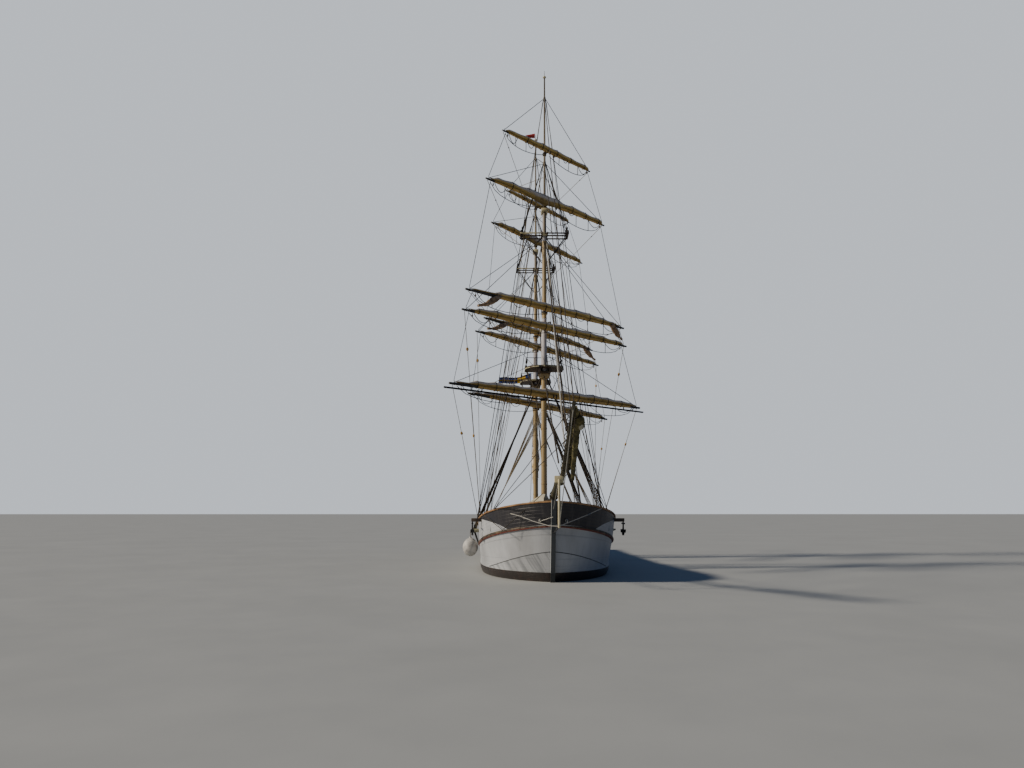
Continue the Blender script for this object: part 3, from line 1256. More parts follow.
def backstay_lines(mast, side):
    """Backstays of one side, two from the topmast head and one each from the topgallant and royal heads."""
    places = MASTS[mast]
    first = shroud_lines(mast, side)[-1][0].x / SCALE - BACKSTAYS["first"]
    topmast_head = on_mast(mast, "topmast", places["trees"] - BACKSTAYS["below_trees"], side * 0.1)
    heads = [topmast_head, topmast_head, on_mast(mast, "topgallant", places["shoulder"], side * 0.06),
             on_mast(mast, "topgallant", places["hounds"], side * 0.05)]
    return [(on_channel(first - BACKSTAYS["step"] * i, side), head) for i, head in enumerate(heads)]


def rungs(lines, low, high, step):
    """Ratlines across shrouds, between two shares of their length, a step apart in metres of the ship."""
    longest = max((foot - head).length for foot, head in lines) / SCALE
    count = int((high - low) * longest / step)
    shares = [low + (high - low) * k / count for k in range(count + 1)]
    return [[foot.lerp(head, share) for foot, head in lines] for share in shares]


def build_shrouds(mast, name, side):
    """Lower shrouds and backstays of one side, with the ratlines."""
    sizes = bpy.context.scene.brig_sizes
    shrouds = shroud_lines(mast, side)
    finished(ropes(shrouds, sizes.shroud_radius, 2), f"{mast}_{name}_shrouds", "hull", "tarred_hemp",
             40, (f"{mast}_shrouds_{name}",))
    roped(backstay_lines(mast, side), 0.024, f"{mast}_{name}_backstays")
    ratlines = rungs(shrouds, 0.09, 0.9, sizes.ratline_step)
    roped(ratlines, 0.013, f"{mast}_{name}_ratlines", material="manila")


def build_deadeyes(mast, name, side):
    """A pair of deadeyes with its lanyard under every shroud and backstay, and the chain plate below it."""
    shrouds = shroud_lines(mast, side)
    stays = backstay_lines(mast, side)
    eyes = []
    lanyards = []
    plates = []
    for foot, head in shrouds + stays:
        small = 1.0 if (foot, head) in shrouds else 0.7
        way = (head - foot).normalized() * SCALE
        spots = [foot + way * up * small for up in DEADEYES]
        eyes += [Matrix.Translation(spot) @ QUARTER_TURN @ Matrix.Scale(small, 4) for spot in spots]
        for shift in (-0.05, 0, 0.05):
            outer, inner = (scaled(shift * small, out * side * 0.055, 0) for out in (1, -1))
            lanyards += [[spots[0] + outer, spots[1] + outer], [spots[0] + inner, spots[1] + outer]]
        x = foot.x / SCALE
        lower = scaled(x, side * (rail_half(x) + 0.02), sheer(x) - 1.3)
        plates.append([foot + scaled(0, side * 0.02, 0), lower])
    stations = [(0, 0.08), (0.015, 0.1), (0.035, 0.1), (0.045, 0.086), (0.055, 0.086), (0.065, 0.1),
                (0.085, 0.1), (0.1, 0.08)]
    eye = turned(stations, scaled(0, 0, -0.05), scaled(0, 0, 0.05), 12)
    finished(scattered(eye, eyes), f"{mast}_{name}_deadeyes", "hull", "black_iron")
    above = (DEADEYES[1] + 0.16) * SCALE
    sheer_pole = [head.lerp(foot, 1 - above / (head - foot).length) for foot, head in shrouds]
    roped(lanyards + [sheer_pole], 0.011, f"{mast}_{name}_lanyards", material="manila")
    finished(ropes(plates, 0.022), f"{mast}_{name}_chain_plates", "hull", "black_iron")


def build_channel(mast, name, side):
    """The plank outside the hull that spreads the shrouds."""
    ahead = shroud_lines(mast, side)[0][0].x / SCALE + 0.35
    aft = backstay_lines(mast, side)[-1][0].x / SCALE - 0.35
    section = ((-0.78, -0.09), (0.1, -0.09), (0.12, -0.07), (0.12, -0.02), (0.1, 0), (-0.78, 0))
    rings = []
    for i in range(9):
        x = ahead + (aft - ahead) * i / 8
        _, y, z = on_channel(x, side) / SCALE
        rings.append([(x, y + side * out, z + up) for out, up in section])
    finished(shell(rings), f"{mast}_{name}_channel", "hull", "top_cream", 30)


def build_upper_shrouds(mast):
    """Topmast and topgallant shrouds with their ratlines, and the futtock shrouds below the top."""
    places = MASTS[mast]
    top, trees = places["top"], places["trees"]
    plain_lines = []
    ladder = []
    step = bpy.context.scene.brig_sizes.ratline_step
    for side in (PORT, STARBOARD):
        topmast = [(on_mast(mast, "lower", top + 0.05, side * 1.14, aft),
                    on_mast(mast, "topmast", trees - 0.2, side * 0.1)) for aft in (0.08, 0.36, 0.64)]
        head = on_mast(mast, "topgallant", places["shoulder"] - 0.05, side * 0.07)
        topgallant = [(on_mast(mast, "topmast", trees + 0.04, side * 1.45, -ahead), head)
                      for ahead in TREE_BARS]
        ladder += rungs(topmast, 0.04, 0.86, step) + rungs(topgallant, 0.05, 0.9, step)
        low = on_mast(mast, "lower", top - 2.0, side * 0.2)
        high = on_mast(mast, "topmast", trees - 1.7, side * 0.14)
        futtocks = [(foot, low) for foot, _ in topmast]
        upper_futtocks = [(foot, high) for foot, _ in topgallant]
        ladder += rungs(futtocks, 0.2, 0.8, step)
        plain_lines += topmast + topgallant + futtocks + upper_futtocks
    spots = [Matrix.Translation(foot.lerp(head, share)) for foot, head in plain_lines if foot.z < head.z
             for share in (0.015, 0.06)]
    eyes = scattered(ball(Matrix(), (0.09, 0.07, 0.1), 10), spots)
    finished(eyes, f"{mast}_upper_deadeyes", "hull", "black_iron")
    roped(plain_lines, 0.021, f"{mast}_upper_shrouds")
    roped(ladder, 0.012, f"{mast}_upper_ratlines")


FALLS = (("topmast", "trees", -0.6), ("topgallant", "shoulder", -0.3), ("topgallant", "hounds", -0.3))


def build_falls(mast):
    """Falls from mast to pin rails: short ones below the lower yard, long ones beside the backstays."""
    lines = []
    for side in (PORT, STARBOARD):
        last = shroud_lines(mast, side)[-1][0].x / SCALE
        for i in range(5):
            head = on_mast(mast, "lower", MASTS[mast]["top"] - 2.65 - 0.12 * i, side * 0.19)
            lines.append([pin_rail_point(last + 0.4 + 0.62 * i, side), head])
        for i, (spar, place, up) in enumerate(FALLS):
            head = on_mast(mast, spar, MASTS[mast][place] + up, side * 0.12)
            lines.append([pin_rail_point(last - 0.1 - 0.17 * i, side), head])
    roped(lines, 0.017, f"{mast}_falls", material="manila")


def pin_rail_point(x, side):
    return scaled(x, side * (rail_half(x) - BULWARK_THICK - 0.14), sheer(x) - 0.25)


def build_upper_stays():
    """Stays of the topgallant and royal masts, and the halyard falls on the jib-boom."""
    fore, main = MASTS["fore"], MASTS["main"]
    royal_foot = on_mast("fore", "topgallant", fore["shoulder"] - 0.1)
    lines = [
        (on_mast("fore", "topgallant", fore["shoulder"]), jibboom_place(27.5) * SCALE),
        (on_mast("fore", "topgallant", fore["hounds"]), jibboom_place(28.75) * SCALE),
        (on_mast("main", "topgallant", main["shoulder"]), on_mast("fore", "topmast", fore["trees"] - 0.5)),
        (on_mast("main", "topgallant", main["hounds"]), royal_foot),
    ]
    roped(lines, 0.022, "upper_stays")
    falls = [[on_mast("fore", "topmast", high, 0.14, -0.25), jibboom_place(x) * SCALE + scaled(0, out, 0.3)]
             for high, x, out in ((20.3, 21.7, 0.16), (19.9, 22.6, 0.05))]
    roped(falls, 0.019, "fore_halyard_falls", material="white_rope")


# Bow
# Rolls of the headsails along the jib-boom: x, offsets to port and up from its axis, radius
STOWED = [(21.8, 0.2, 0, 0.06), (22.6, 0.2, 0, 0.13), (25, 0.18, 0.02, 0.15), (27.2, 0.18, 0.04, 0.15),
          (28.4, 0.1, 0.04, 0.06)]
HANGING = [(21.9, 0.42, -0.46, 0.07), (23.2, 0.36, -0.42, 0.11), (25.2, 0.29, -0.34, 0.12),
           (26.6, 0.26, -0.12, 0.14), (27.2, 0.32, -0.08, 0.22), (27.7, 0.28, 0, 0.08)]


def head_spar(heel, end, sizes, bands, swell, sides):
    """A tapered spar of the bow, with bands at distances from its heel, or from its end if negative."""
    length = (end - heel).length / SCALE

    def radius(d):
        return sizes["radius"] + (sizes["tip"] - sizes["radius"]) * d / length

    hoops = [(d % length, *swell) for d in bands]
    return painted(turned(hooped(radius, 0, length, hoops), heel, end, sides), "tarred_pine")


def build_bowsprit():
    """Bowsprit with its cap and gammoning, jib-boom, and the dolphin striker with its chains."""
    spar = head_spar(bowsprit_point(BOWSPRIT["heel"]), bowsprit_point(BOWSPRIT["end"]), BOWSPRIT,
                     (3.0, 5.2, 6.8), (0.015, 0.05), 24)
    cap = boxed((0.26, 0.42, 0.32), Matrix.Translation(bowsprit_point(21.2)), 0.015)
    parts = [spar, painted(cap, "cream_paint")]
    finished(joined(parts), "bowsprit_spar", "hull", None, 35, ("bowsprit",))
    boom = head_spar(jibboom_place(JIBBOOM["heel"]) * SCALE, jibboom_place(JIBBOOM["end"]) * SCALE, JIBBOOM,
                     (1.1, 5.9, 7.8, -0.1), (0.012, 0.04), 20)
    finished(boom, "jibboom_spar", "hull", None, 35, ("jibboom",))
    top, bottom = (scaled(STRIKER["x"], 0, STRIKER[key]) for key in ("top", "bottom"))
    striker = turned([(0, 0.045), (0.05, 0.06), (2.2, 0.06), (2.26, 0.045)], bottom, top, 14)
    foot = bottom + scaled(0, 0, 0.05)
    chains = [painted(ropes([[foot, jibboom_place(28.6) * SCALE]], 0.02), "galvanised"),
              painted(ropes([[foot, scaled(17.4, 0, 2.6)]], 0.03, 2), "black_iron")]
    parts = [painted(striker, "cream_paint"), *chains]
    finished(joined(parts), "striker_spar", "hull", None, 35, ("dolphin_striker",))
    gammoning = [[bowsprit_point(17.62 + 0.05 * i, 0.215 * out, 0.215 * up) for out, up in CIRCLE]
                 for i in range(7)]
    roped(gammoning, 0.022, "gammoning")


def build_head_gear():
    """Stays, guys and footropes of the jib-boom, and the rims of the hawse holes."""
    foot = scaled(STRIKER["x"], 0, STRIKER["bottom"] + 0.08)
    cap = bowsprit_point(21.1, -0.02, -0.12)
    wires = [
        [scaled(16.5, -2.2, 3.59), scaled(17.3, -1.7, 3.46), scaled(18.5, -1.1, 3.22),
         scaled(20.2, -0.4, 3.02), foot],
        [scaled(16.2, 2.62, 3.85), scaled(18.6, 1.55, 3.5), foot],
        [scaled(17.62, -0.02, 3.78), cap],
        [scaled(17.32, -0.66, 3.21), scaled(17.86, -0.05, 3.42)],
    ]
    roped(wires, 0.02, "back_ropes", material="galvanised")
    dark = [[scaled(14.5, -3.86, 3.67), scaled(16.35, -2.6, 2.72)],
            [scaled(17.25, -0.55, 4.62), scaled(16.4, -2.58, 2.76)]]
    dark += [[rail_point(15.2, side, 0.05, 0.05), jibboom_place(x) * SCALE]
             for side in (PORT, STARBOARD) for x in (25.6, 28.7)]
    roped(dark, 0.018, "head_guys")
    slack = []
    for side in (PORT, STARBOARD):
        points = [jibboom_place(x) * SCALE + scaled(0, side * 0.1, 0) for x in (21.4, 24.8, 28.2)]
        slack += [sagging(a, b, 0.55) for a, b in zip(points, points[1:])]
    roped(slack, 0.018, "jibboom_footropes")
    spots = [place_at(17.3, side * 0.68, 3.21, side * -62) for side in (PORT, STARBOARD)]
    hawse = [ring(spot @ Matrix.Rotation(math.pi / 2, 4, "Y"), 0.09, 0.035) for spot in spots]
    finished(joined(hawse), "hawse_rims", "hull", "galvanised")


def build_stem_cover():
    """A tarpaulin thrown over the gear on the stem head."""
    peak = [(16.85, -0.14), (17.05, -0.5), (16.5, -1.25), (16.2, -0.5)]
    rings = [[(x, y, sheer(x) + 0.05) for x, y in peak]]
    rings.append([(x + 0.1 * (16.8 - x), y + 0.2 * (-0.4 - y), sheer(x) + 0.3) for x, y in peak])
    rings.append([(x + 0.8 * (16.75 - x), y + 0.8 * (-0.36 - y), sheer(16.7) + 0.6) for x, y in peak])
    cover = shell(rings)
    finished(cover, "stem_head_cover", None, "cotton_duck", 60)
    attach(cover, "hull")


def build_headsails():
    for name, table, seed in (("stowed", STOWED, 1.0), ("hanging", HANGING, 5.0)):
        def middle(v, table=table):
            x, out, up, _ = smooth_between(table, v)
            return jibboom_place(x) + Vector((0, out, up))

        roll = cloth_roll(middle, lambda v, table=table: smooth_between(table, v)[3], 60, 0.35, 18, seed)
        replaces = ("furled_headsails",) if name == "stowed" else ()
        finished(roll, f"{name}_headsail", None, "proofed_cotton", 60, replaces)
        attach(roll, "hull")
    spot = (jibboom_place(27.2) + Vector((0, 0.36, -0.05))) * SCALE
    bag = ball(Matrix.Translation(spot), (0.24, 0.15, 0.29), 18)
    finished(bag, "sail_bag", None, "cotton_duck", 60)
    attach(bag, "hull")
    bands = []
    for i in range(9):
        x, out, up, size = smooth_between(STOWED, 0.12 + 0.09 * i)
        middle = jibboom_place(x) + Vector((0, out / 2, up / 2))
        reach, tall = out / 2 + size + 0.03, size + 0.04
        bands.append([(middle + Vector((0, reach * across, tall * high))) * SCALE for across, high in CIRCLE])
    roped(bands, 0.02, "headsail_gaskets")


# Spanker
def spanker_points(name):
    """Pivot and end of the boom or gaff, in the model."""
    z, length, rise, _ = SPANKER[name]
    pivot = on_mast("main", "lower", z, 0, PIVOT_BEHIND)
    angle = math.radians(rise)
    way = mast_frame("main").to_3x3() @ scaled(-length * math.cos(angle), 0, length * math.sin(angle))
    return pivot, pivot + way


def build_spanker():
    """Boom and gaff with their lifts, and the spanker brailed up along the mast."""
    for name, (_, length, _, radius) in SPANKER.items():
        pivot, end = spanker_points(name)
        stations = [(0, radius * 0.9), (0.5, radius), (length * 0.4, radius)]
        for share in (0.55, 0.96):
            stations += band(share * length, radius * (1 - 0.4 * share), 0.012, 0.04)
        stations.append((length, radius * 0.6))
        up = mast_frame("main").to_3x3() @ scaled(0, 0, 0.16)
        parts = [painted(turned(stations, pivot, end, 20), "spar_ochre"),
                 painted(bar(pivot - up, pivot + up, 0.11, None, 14), "black_iron")]
        body = f"spanker_{name}"
        finished(joined(parts), f"{body}_spar", body, None, 35, (body,))
    low, high = SPANKER["boom"][0] + 0.55, SPANKER["gaff"][0] - 0.45
    behind = mast_frame("main") @ place_at(-0.36, 0, 0)

    def middle(v):
        return behind @ scaled(0, 0, low + (high - low) * v) / SCALE

    sail = cloth_roll(middle, lambda v: smooth_between(BRAILED, v)[0], 60, 0.4, 20, 3.0)
    stain = sail.data.attributes.new("stain", "FLOAT", "POINT")
    for value in stain.data:
        value.value = 0.35
    finished(sail, "brailed_spanker", None, "furled_canvas", 60, ("furled_spanker",))
    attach(sail, "hull")
    brails = []
    for i in range(6):
        share = 0.12 + 0.15 * i
        size = smooth_between(BRAILED, share)[0] + 0.03
        z = low + (high - low) * share
        brails.append([behind @ scaled(size * ahead, size * out, z) for ahead, out in CIRCLE])
    roped(brails, 0.022, "spanker_brails", material="manila")
    for name, share in (("boom", 0.93), ("gaff", 0.6)):
        pivot, end = spanker_points(name)
        head = on_mast("main", "lower", MASTS["main"]["cap"] - 0.05, 0, 0.2)
        arm = pivot.lerp(end, share) + scaled(0, 0, 0.12)
        lift = ropes([straight(head, arm, 20)], 0.02)
        finished(lift, f"spanker_{name}_lift", None, "tarred_hemp")
        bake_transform(lift)


def build_ensign():
    """Blue ensign with a yellow cross, on a staff at the gaff's end."""
    _, peak = spanker_points("gaff")
    staff = bar(peak, peak + scaled(0, 0, 1.2), 0.022)
    finished(staff, "ensign_staff", "spanker_gaff", "spar_ochre")
    length, hoist = ENSIGN

    def cloth(u, v):
        gathered = min(1, 3 * u)
        pleat = 0.115 * gathered * math.sin(4 * math.pi * v)
        rise = hoist * (1 - 0.5 * gathered) * (v - 0.5)
        up = 0.7 + rise - 0.1 * u + 0.04 * math.sin(9 * u)
        return peak + scaled(pleat - 0.1 * u, -0.03 - length * u * 0.97, up)

    flag = painted(surface(cloth, 40, 32), "blue_bunting")
    flag.data.materials.append(finish("yellow_bunting"))
    corners = flag.data.uv_layers[0].data
    for face in flag.data.polygons:
        u, v = (sum(corners[i].uv[k] for i in face.loop_indices) / len(face.loop_indices) for k in (0, 1))
        face.material_index = 1 if abs(u - 0.3) < 0.12 or abs(v - 0.5) < 0.07 else 0
    finished(flag, "ensign", None, None, 60)
    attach(flag, "spanker_gaff")


def build_wind_sock():
    """Red wind sock at the main truck."""
    root = on_mast("main", "topgallant", MASTS["main"]["truck"] + 0.28)
    wide, narrow, reach = WIND_SOCK

    def sock(u, v):
        radius = wide + (narrow - wide) * v
        turn = 2 * math.pi * u
        out, up = radius * math.sin(turn) * 0.9, radius * math.cos(turn) - 0.06 * v
        return root + scaled(out, -0.05 - reach * v, up)

    tube = surface(sock, 20, 12)
    finished(tube, "wind_sock", None, "red_bunting", 60)
    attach(tube, "hull")


# Deck gear
def build_deckhouse():
    """Window panes and frames of the deckhouse, the handrails on its roof and the panels of its door."""
    low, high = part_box("deckhouse_walls")
    roof_low, roof_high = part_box("deckhouse_roof")
    middle_x = (low.x + high.x) / 2 / SCALE
    glass = []
    frames = []
    window_z = roof_low.z / SCALE - 0.65
    for side in (PORT, STARBOARD):
        y = side * (high.y / SCALE - 0.05)
        for shift in (-1.15, 1.15):
            x = middle_x + shift
            glass.append(boxed((0.5, 0.02, 0.4), place_at(x, y, window_z), 0.002))
            for dx, dz, size in ((-0.27, 0, (0.05, 0.16, 0.5)), (0.27, 0, (0.05, 0.16, 0.5)),
                                 (0, -0.22, (0.5, 0.16, 0.05)), (0, 0.22, (0.5, 0.16, 0.05))):
                frames.append(boxed(size, place_at(x + dx, y, window_z + dz), 0.004))
    finished(joined(glass), "deckhouse_panes", "hull", "dark_glass")
    finished(joined(frames), "deckhouse_window_frames", "hull", "oiled_oak")
    rails = []
    z = roof_high.z / SCALE
    aft, ahead = roof_low.x / SCALE + 0.4, roof_high.x / SCALE - 0.4
    for side in (PORT, STARBOARD):
        y = side * (roof_high.y / SCALE - 0.2)
        rails.append([scaled(x, y, z + 0.12) for x in (aft, ahead)])
        rails += [[scaled(aft + (ahead - aft) * k / 4, y, z + up) for up in (0, 0.12)] for k in range(5)]
    finished(ropes(rails, 0.022), "deckhouse_handrails", "hull", "oiled_oak")
    low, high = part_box("deckhouse_door")
    middle = (low + high) / 2 / SCALE
    panels = [boxed((0.02, 0.46, 0.6), place_at(low.x / SCALE, middle.y, middle.z + dz), 0.004)
              for dz in (-0.4, 0.4)]
    knob = ball(place_at(low.x / SCALE - 0.04, high.y / SCALE - 0.09, middle.z), (0.035, 0.035, 0.035), 12)
    parts = [painted(joined(panels), "oiled_oak"), painted(knob, "cast_bronze")]
    finished(joined(parts), "deckhouse_door_panels", "deckhouse_door", None)


def build_hatches():
    """Battens of the main hatch, and the panes and guard bars of the skylight."""
    low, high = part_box("main_hatch")
    (x0, y0, _), (x1, y1, z1) = low / SCALE, high / SCALE
    z = z1 - 0.12
    battens = [boxed((x1 - x0 + 0.08, 0.04, 0.07), place_at((x0 + x1) / 2, y, z)) for y in (y0, y1)]
    battens += [boxed((0.04, y1 - y0 + 0.08, 0.07), place_at(x, 0, z)) for x in (x0, x1)]
    finished(joined(battens), "hatch_battens", "hull", "oiled_oak")
    low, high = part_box("skylight")
    (x0, _, _), (x1, y1, z1) = low / SCALE, high / SCALE
    eave = deck_z(SKYLIGHT_X) + 0.5
    slope = math.degrees(math.atan2(z1 - eave, y1 - 0.06))
    panes = []
    bars = []
    for side in (PORT, STARBOARD):
        roof = place_at((x0 + x1) / 2, side * (y1 + 0.06) / 2, (z1 + eave) / 2 + 0.012, -side * slope, "X")
        for k in (-1, 0, 1):
            panes.append(boxed((0.58, 0.6, 0.02), roof @ place_at(k * 0.68, 0, 0), 0.002))
            bars += [boxed((0.015, 0.62, 0.03), roof @ place_at(k * 0.68 + 0.1 * j, 0, 0.015), 0.002)
                     for j in (-1, 0, 1)]
    finished(joined(panes), "skylight_panes", "hull", "dark_glass")
    finished(joined(bars), "skylight_bars", "hull", "cast_bronze")


def build_wheel():
    """The steering wheel: two turned rims, eight spokes with their handles and a bronze hub."""
    low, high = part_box("steering_wheel")
    centre = (low + high) / 2
    face = Matrix.Translation(centre) @ Matrix.Rotation(math.pi / 2, 4, "Y")
    parts = [ring(face, 0.55, 0.035, 0.03, 32), ring(face, 0.3, 0.02, 0.02, 24)]
    stations = [(0.05, 0.022), (0.2, 0.018), (0.3, 0.024), (0.5, 0.018), (0.56, 0.022), (0.62, 0.016),
                (0.66, 0.02), (0.69, 0.012)]
    for i in range(8):
        turn = 2 * math.pi * i / 8
        parts.append(turned(stations, centre, centre + scaled(0, math.cos(turn), math.sin(turn)), 8))
    for part in parts:
        painted(part, "mahogany")
    hub = turned([(0, 0.085), (0.03, 0.09), (0.13, 0.09), (0.18, 0.07)], Vector((low.x, centre.y, centre.z)),
                 Vector((high.x, centre.y, centre.z)), 20)
    parts.append(painted(hub, "cast_bronze"))
    finished(joined(parts), "wheel_rim_and_spokes", "steering_wheel", None, 40,
             ("steering_wheel",))


def build_windlass_gear():
    """Whelps and turns of chain on the windlass barrel."""
    z = deck_z(WINDLASS_X) + 0.65
    whelps = [ring(place_at(WINDLASS_X, y, z, 90, "X"), 0.215, 0.02, 0.05, 20)
              for y in (-1.0, -0.75, -0.2, 0.2, 0.75, 1.0)]
    finished(joined(whelps), "windlass_whelps", "hull", "galvanised")
    turns = [ring(place_at(WINDLASS_X, side * (0.42 + 0.05 * k), z, 90, "X"), 0.225, 0.022, None, 16)
             for side in (-1, 1) for k in range(5)]
    finished(joined(turns), "windlass_chain_turns", "hull", "black_iron")


def build_rudder_braces():
    """Bronze straps that hold the rudder to its stock."""
    irons = [boxed((0.12, 0.2, 0.07), place_at(RUDDER_X, 0, height), 0.006) for height in (-2.6, -1.5)]
    finished(joined(irons), "rudder_braces", "rudder", "cast_bronze")


DRESS = {"white_paint": "inner_paint", "black_paint": "stem_enamel", "varnished_wood": "mahogany",
         "spar_paint": "spar_ochre", "top_paint": "top_cream", "tarred_rope": "tarred_hemp",
         "sail_canvas": "furled_canvas", "olive_canvas": "proofed_cotton", "iron": "black_iron",
         "bronze": "cast_bronze", "deck_plank": "deck_pine"}
OWN_DRESS = {"main_hatch": "cotton_duck"}


def dress_nodes():
    """Gives every node of the frame the finish of its slot."""
    slots = {part["node"]: part["material_slot"] for part in frame["record"]["subparts"]}
    for name, obj in frame["nodes"].items():
        painted(obj, OWN_DRESS.get(name, DRESS[slots[name]]))
    for mast, places in MASTS.items():
        platform = frame["nodes"][f"{mast}_top"]
        place = platform.matrix_world.inverted() @ mast_frame(mast)
        repainted(platform, place, 0, places["top"] - 0.04, "dark_oak")


# Add-on
class BrigSizes(bpy.types.PropertyGroup):
    """Sizes of the full-size ship that a user may change"""
    plank_width: bpy.props.FloatProperty(
        name="Plank width", description="Width of the planks of the topsides",
        subtype="DISTANCE", default=0.18, min=0.1, max=0.4)
    deck_plank_width: bpy.props.FloatProperty(
        name="Deck plank width", description="Width of the planks of the deck",
        subtype="DISTANCE", default=0.14, min=0.08, max=0.3)
    ratline_step: bpy.props.FloatProperty(
        name="Ratline step", description="Distance between ratlines along the shrouds",
        subtype="DISTANCE", default=0.38, min=0.25, max=0.6)
    gasket_step: bpy.props.FloatProperty(
        name="Gasket step", description="Distance between the gaskets of a furled sail",
        subtype="DISTANCE", default=1.3, min=0.6, max=2.0)
    shroud_radius: bpy.props.FloatProperty(
        name="Shroud radius", description="Radius of the lower shrouds",
        subtype="DISTANCE", default=0.033, min=0.01, max=0.06)


class BrigColours(bpy.types.PropertyGroup):
    """Lightest shades of the paints and cloths that a user may change"""
    topside_paint: bpy.props.FloatVectorProperty(
        name="Topsides", description="Enamel of the topsides",
        subtype="COLOR", size=4, default=linear("#c2c5c8"), min=0, max=1)
    band_paint: bpy.props.FloatVectorProperty(
        name="Band", description="Enamel of the band above the wale",
        subtype="COLOR", size=4, default=linear("#26252a"), min=0, max=1)
    boot_paint: bpy.props.FloatVectorProperty(
        name="Boot top", description="Paint of the band at the waterline",
        subtype="COLOR", size=4, default=linear("#241d1a"), min=0, max=1)
    wale_paint: bpy.props.FloatVectorProperty(
        name="Wale", description="Paint on the moulding of the wale",
        subtype="COLOR", size=4, default=linear("#6f3329"), min=0, max=1)
    mast_paint: bpy.props.FloatVectorProperty(
        name="Masts", description="Paint of the masts, boom and gaff",
        subtype="COLOR", size=4, default=linear("#b39c6e"), min=0, max=1)
    yard_paint: bpy.props.FloatVectorProperty(
        name="Yards", description="Paint of the yards",
        subtype="COLOR", size=4, default=linear("#d3b066"), min=0, max=1)
    canvas: bpy.props.FloatVectorProperty(
        name="Canvas", description="Cloth of the furled sails",
        subtype="COLOR", size=4, default=linear("#dabf76"), min=0, max=1)
    ensign_field: bpy.props.FloatVectorProperty(
        name="Ensign", description="Bunting of the ensign",
        subtype="COLOR", size=4, default=linear("#26407f"), min=0, max=1)
    ensign_cross: bpy.props.FloatVectorProperty(
        name="Cross", description="Bunting of the cross on the ensign",
        subtype="COLOR", size=4, default=linear("#d0ab3a"), min=0, max=1)
    wind_sock: bpy.props.FloatVectorProperty(
        name="Wind sock", description="Bunting of the wind sock",
        subtype="COLOR", size=4, default=linear("#a82e28"), min=0, max=1)


class BrigStage(bpy.types.Operator):
    """Lay the pale floor and set the light and the camera"""
    bl_idname = "brig.stage"
    bl_label = "Stage"

    def execute(self, context):
        build_stage()
        return {"FINISHED"}


class BrigFinishes(bpy.types.Operator):
    """Give the parts of the frame that show their finishes"""
    bl_idname = "brig.finishes"
    bl_label = "Finishes"

    def execute(self, context):
        dress_nodes()
        return {"FINISHED"}


class BrigHull(bpy.types.Operator):
    """Plank the hull"""
    bl_idname = "brig.hull"
    bl_label = "Hull"

    def execute(self, context):
        build_hull()
        return {"FINISHED"}


class BrigRails(bpy.types.Operator):
    """Lay the wales, cap rails and timberheads, and the pin rails with their pins"""
    bl_idname = "brig.rails"
    bl_label = "Rails"

    def execute(self, context):
        build_rails()
        build_pin_rails()
        return {"FINISHED"}


class BrigAnchors(bpy.types.Operator):
    """Hang the anchors and the ball fender"""
    bl_idname = "brig.anchors"
    bl_label = "Anchors and fender"

    def execute(self, context):
        build_anchors()
        build_fender()
        return {"FINISHED"}


class BrigMasts(bpy.types.Operator):
    """Step the masts"""
    bl_idname = "brig.masts"
    bl_label = "Masts"

    def execute(self, context):
        for mast in MASTS:
            build_lower_mast(mast)
            build_topmast(mast)
            build_topgallant_mast(mast)
            build_top_rail(mast)
        return {"FINISHED"}


class BrigYards(bpy.types.Operator):
    """Cross the yards, furl their sails and rig them"""
    bl_idname = "brig.yards"
    bl_label = "Yards and sails"

    def execute(self, context):
        for yard in YARD_LIST:
            build_yard(yard)
            build_yard_irons(yard)
            build_sail(yard)
            build_gaskets(yard)
            build_footropes(yard)
            build_lifts_and_braces(yard)
            build_yard_blocks(yard)
            if yard.kind != "course":
                build_sheets(yard)
            if yard.kind == "upper_topsail":
                build_clews(yard)
        return {"FINISHED"}


class BrigRigging(bpy.types.Operator):
    """Set up the shrouds, backstays, stays and falls"""
    bl_idname = "brig.rigging"
    bl_label = "Rigging of the masts"

    def execute(self, context):
        for mast in MASTS:
            for name, side in SIDES.items():
                build_shrouds(mast, name, side)
                build_deadeyes(mast, name, side)
                build_channel(mast, name, side)
            build_upper_shrouds(mast)
            build_falls(mast)
        build_upper_stays()
        return {"FINISHED"}


class BrigBow(bpy.types.Operator):
    """Run out the bowsprit and jib-boom with their gear"""
    bl_idname = "brig.bow"
    bl_label = "Bow"

    def execute(self, context):
        build_bowsprit()
        build_head_gear()
        build_stem_cover()
        return {"FINISHED"}


class BrigHeadsails(bpy.types.Operator):
    """Stow the headsails on the jib-boom"""
    bl_idname = "brig.headsails"
    bl_label = "Headsails"

    def execute(self, context):
        build_headsails()
        return {"FINISHED"}


class BrigSpanker(bpy.types.Operator):
    """Hang the spanker's boom and gaff, and brail up its sail"""
    bl_idname = "brig.spanker"
    bl_label = "Spanker"

    def execute(self, context):
        build_spanker()
        return {"FINISHED"}


class BrigFlags(bpy.types.Operator):
    """Hoist the ensign and the wind sock"""
    bl_idname = "brig.flags"
    bl_label = "Flags"

    def execute(self, context):
        build_ensign()
        build_wind_sock()
        return {"FINISHED"}


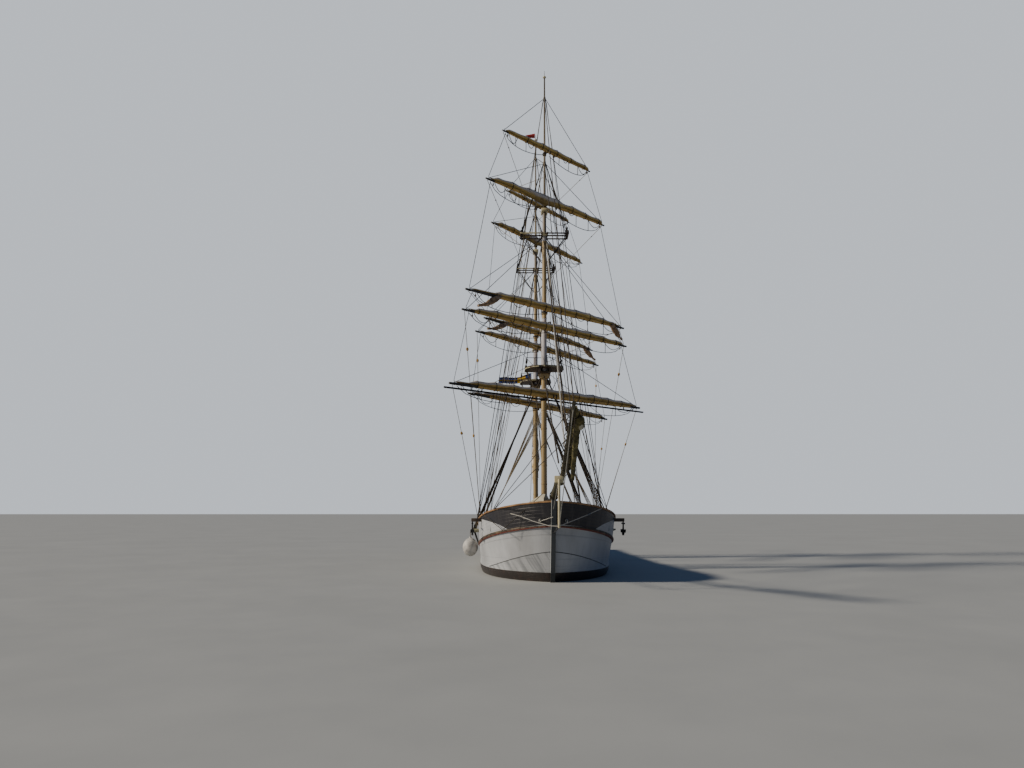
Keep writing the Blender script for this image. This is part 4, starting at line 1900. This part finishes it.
class BrigDeckGear(bpy.types.Operator):
    """Fit out the deckhouse and the hatches"""
    bl_idname = "brig.deck_gear"
    bl_label = "Deckhouse and hatches"

    def execute(self, context):
        build_deckhouse()
        build_hatches()
        return {"FINISHED"}


class BrigSteering(bpy.types.Operator):
    """Fit the steering wheel, the windlass gear and the braces of the rudder"""
    bl_idname = "brig.steering"
    bl_label = "Wheel, windlass and rudder"

    def execute(self, context):
        build_wheel()
        build_windlass_gear()
        build_rudder_braces()
        return {"FINISHED"}


OPERATORS = (BrigStage, BrigFinishes, BrigHull, BrigRails, BrigAnchors, BrigMasts, BrigYards, BrigRigging,
             BrigBow, BrigHeadsails, BrigSpanker, BrigFlags, BrigDeckGear, BrigSteering)


class BrigPanel(bpy.types.Panel):
    """Sizes, colours and steps of the brig"""
    bl_idname = "VIEW3D_PT_brig"
    bl_label = "Brig"
    bl_space_type = "VIEW_3D"
    bl_region_type = "UI"
    bl_category = "Brig"

    def draw(self, context):
        scene = context.scene
        for settings, group in ((scene.brig_sizes, BrigSizes), (scene.brig_colours, BrigColours)):
            for name in group.__annotations__:
                self.layout.prop(settings, name)
        for operator in OPERATORS:
            self.layout.operator(operator.bl_idname)


CLASSES = (BrigSizes, BrigColours, *OPERATORS, BrigPanel)


def register():
    for each in CLASSES:
        bpy.utils.register_class(each)
    bpy.types.Scene.brig_sizes = bpy.props.PointerProperty(type=BrigSizes)
    bpy.types.Scene.brig_colours = bpy.props.PointerProperty(type=BrigColours)


def unregister():
    del bpy.types.Scene.brig_colours
    del bpy.types.Scene.brig_sizes
    for each in reversed(CLASSES):
        bpy.utils.unregister_class(each)


def main():
    register()
    bpy.ops.brig.stage()
    bpy.ops.brig.finishes()
    bpy.ops.brig.hull()
    bpy.ops.brig.rails()
    bpy.ops.brig.anchors()
    bpy.ops.brig.masts()
    bpy.ops.brig.yards()
    bpy.ops.brig.rigging()
    bpy.ops.brig.bow()
    bpy.ops.brig.headsails()
    bpy.ops.brig.spanker()
    bpy.ops.brig.flags()
    bpy.ops.brig.deck_gear()
    bpy.ops.brig.steering()
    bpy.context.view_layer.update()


if __name__ == "__main__":
    main()
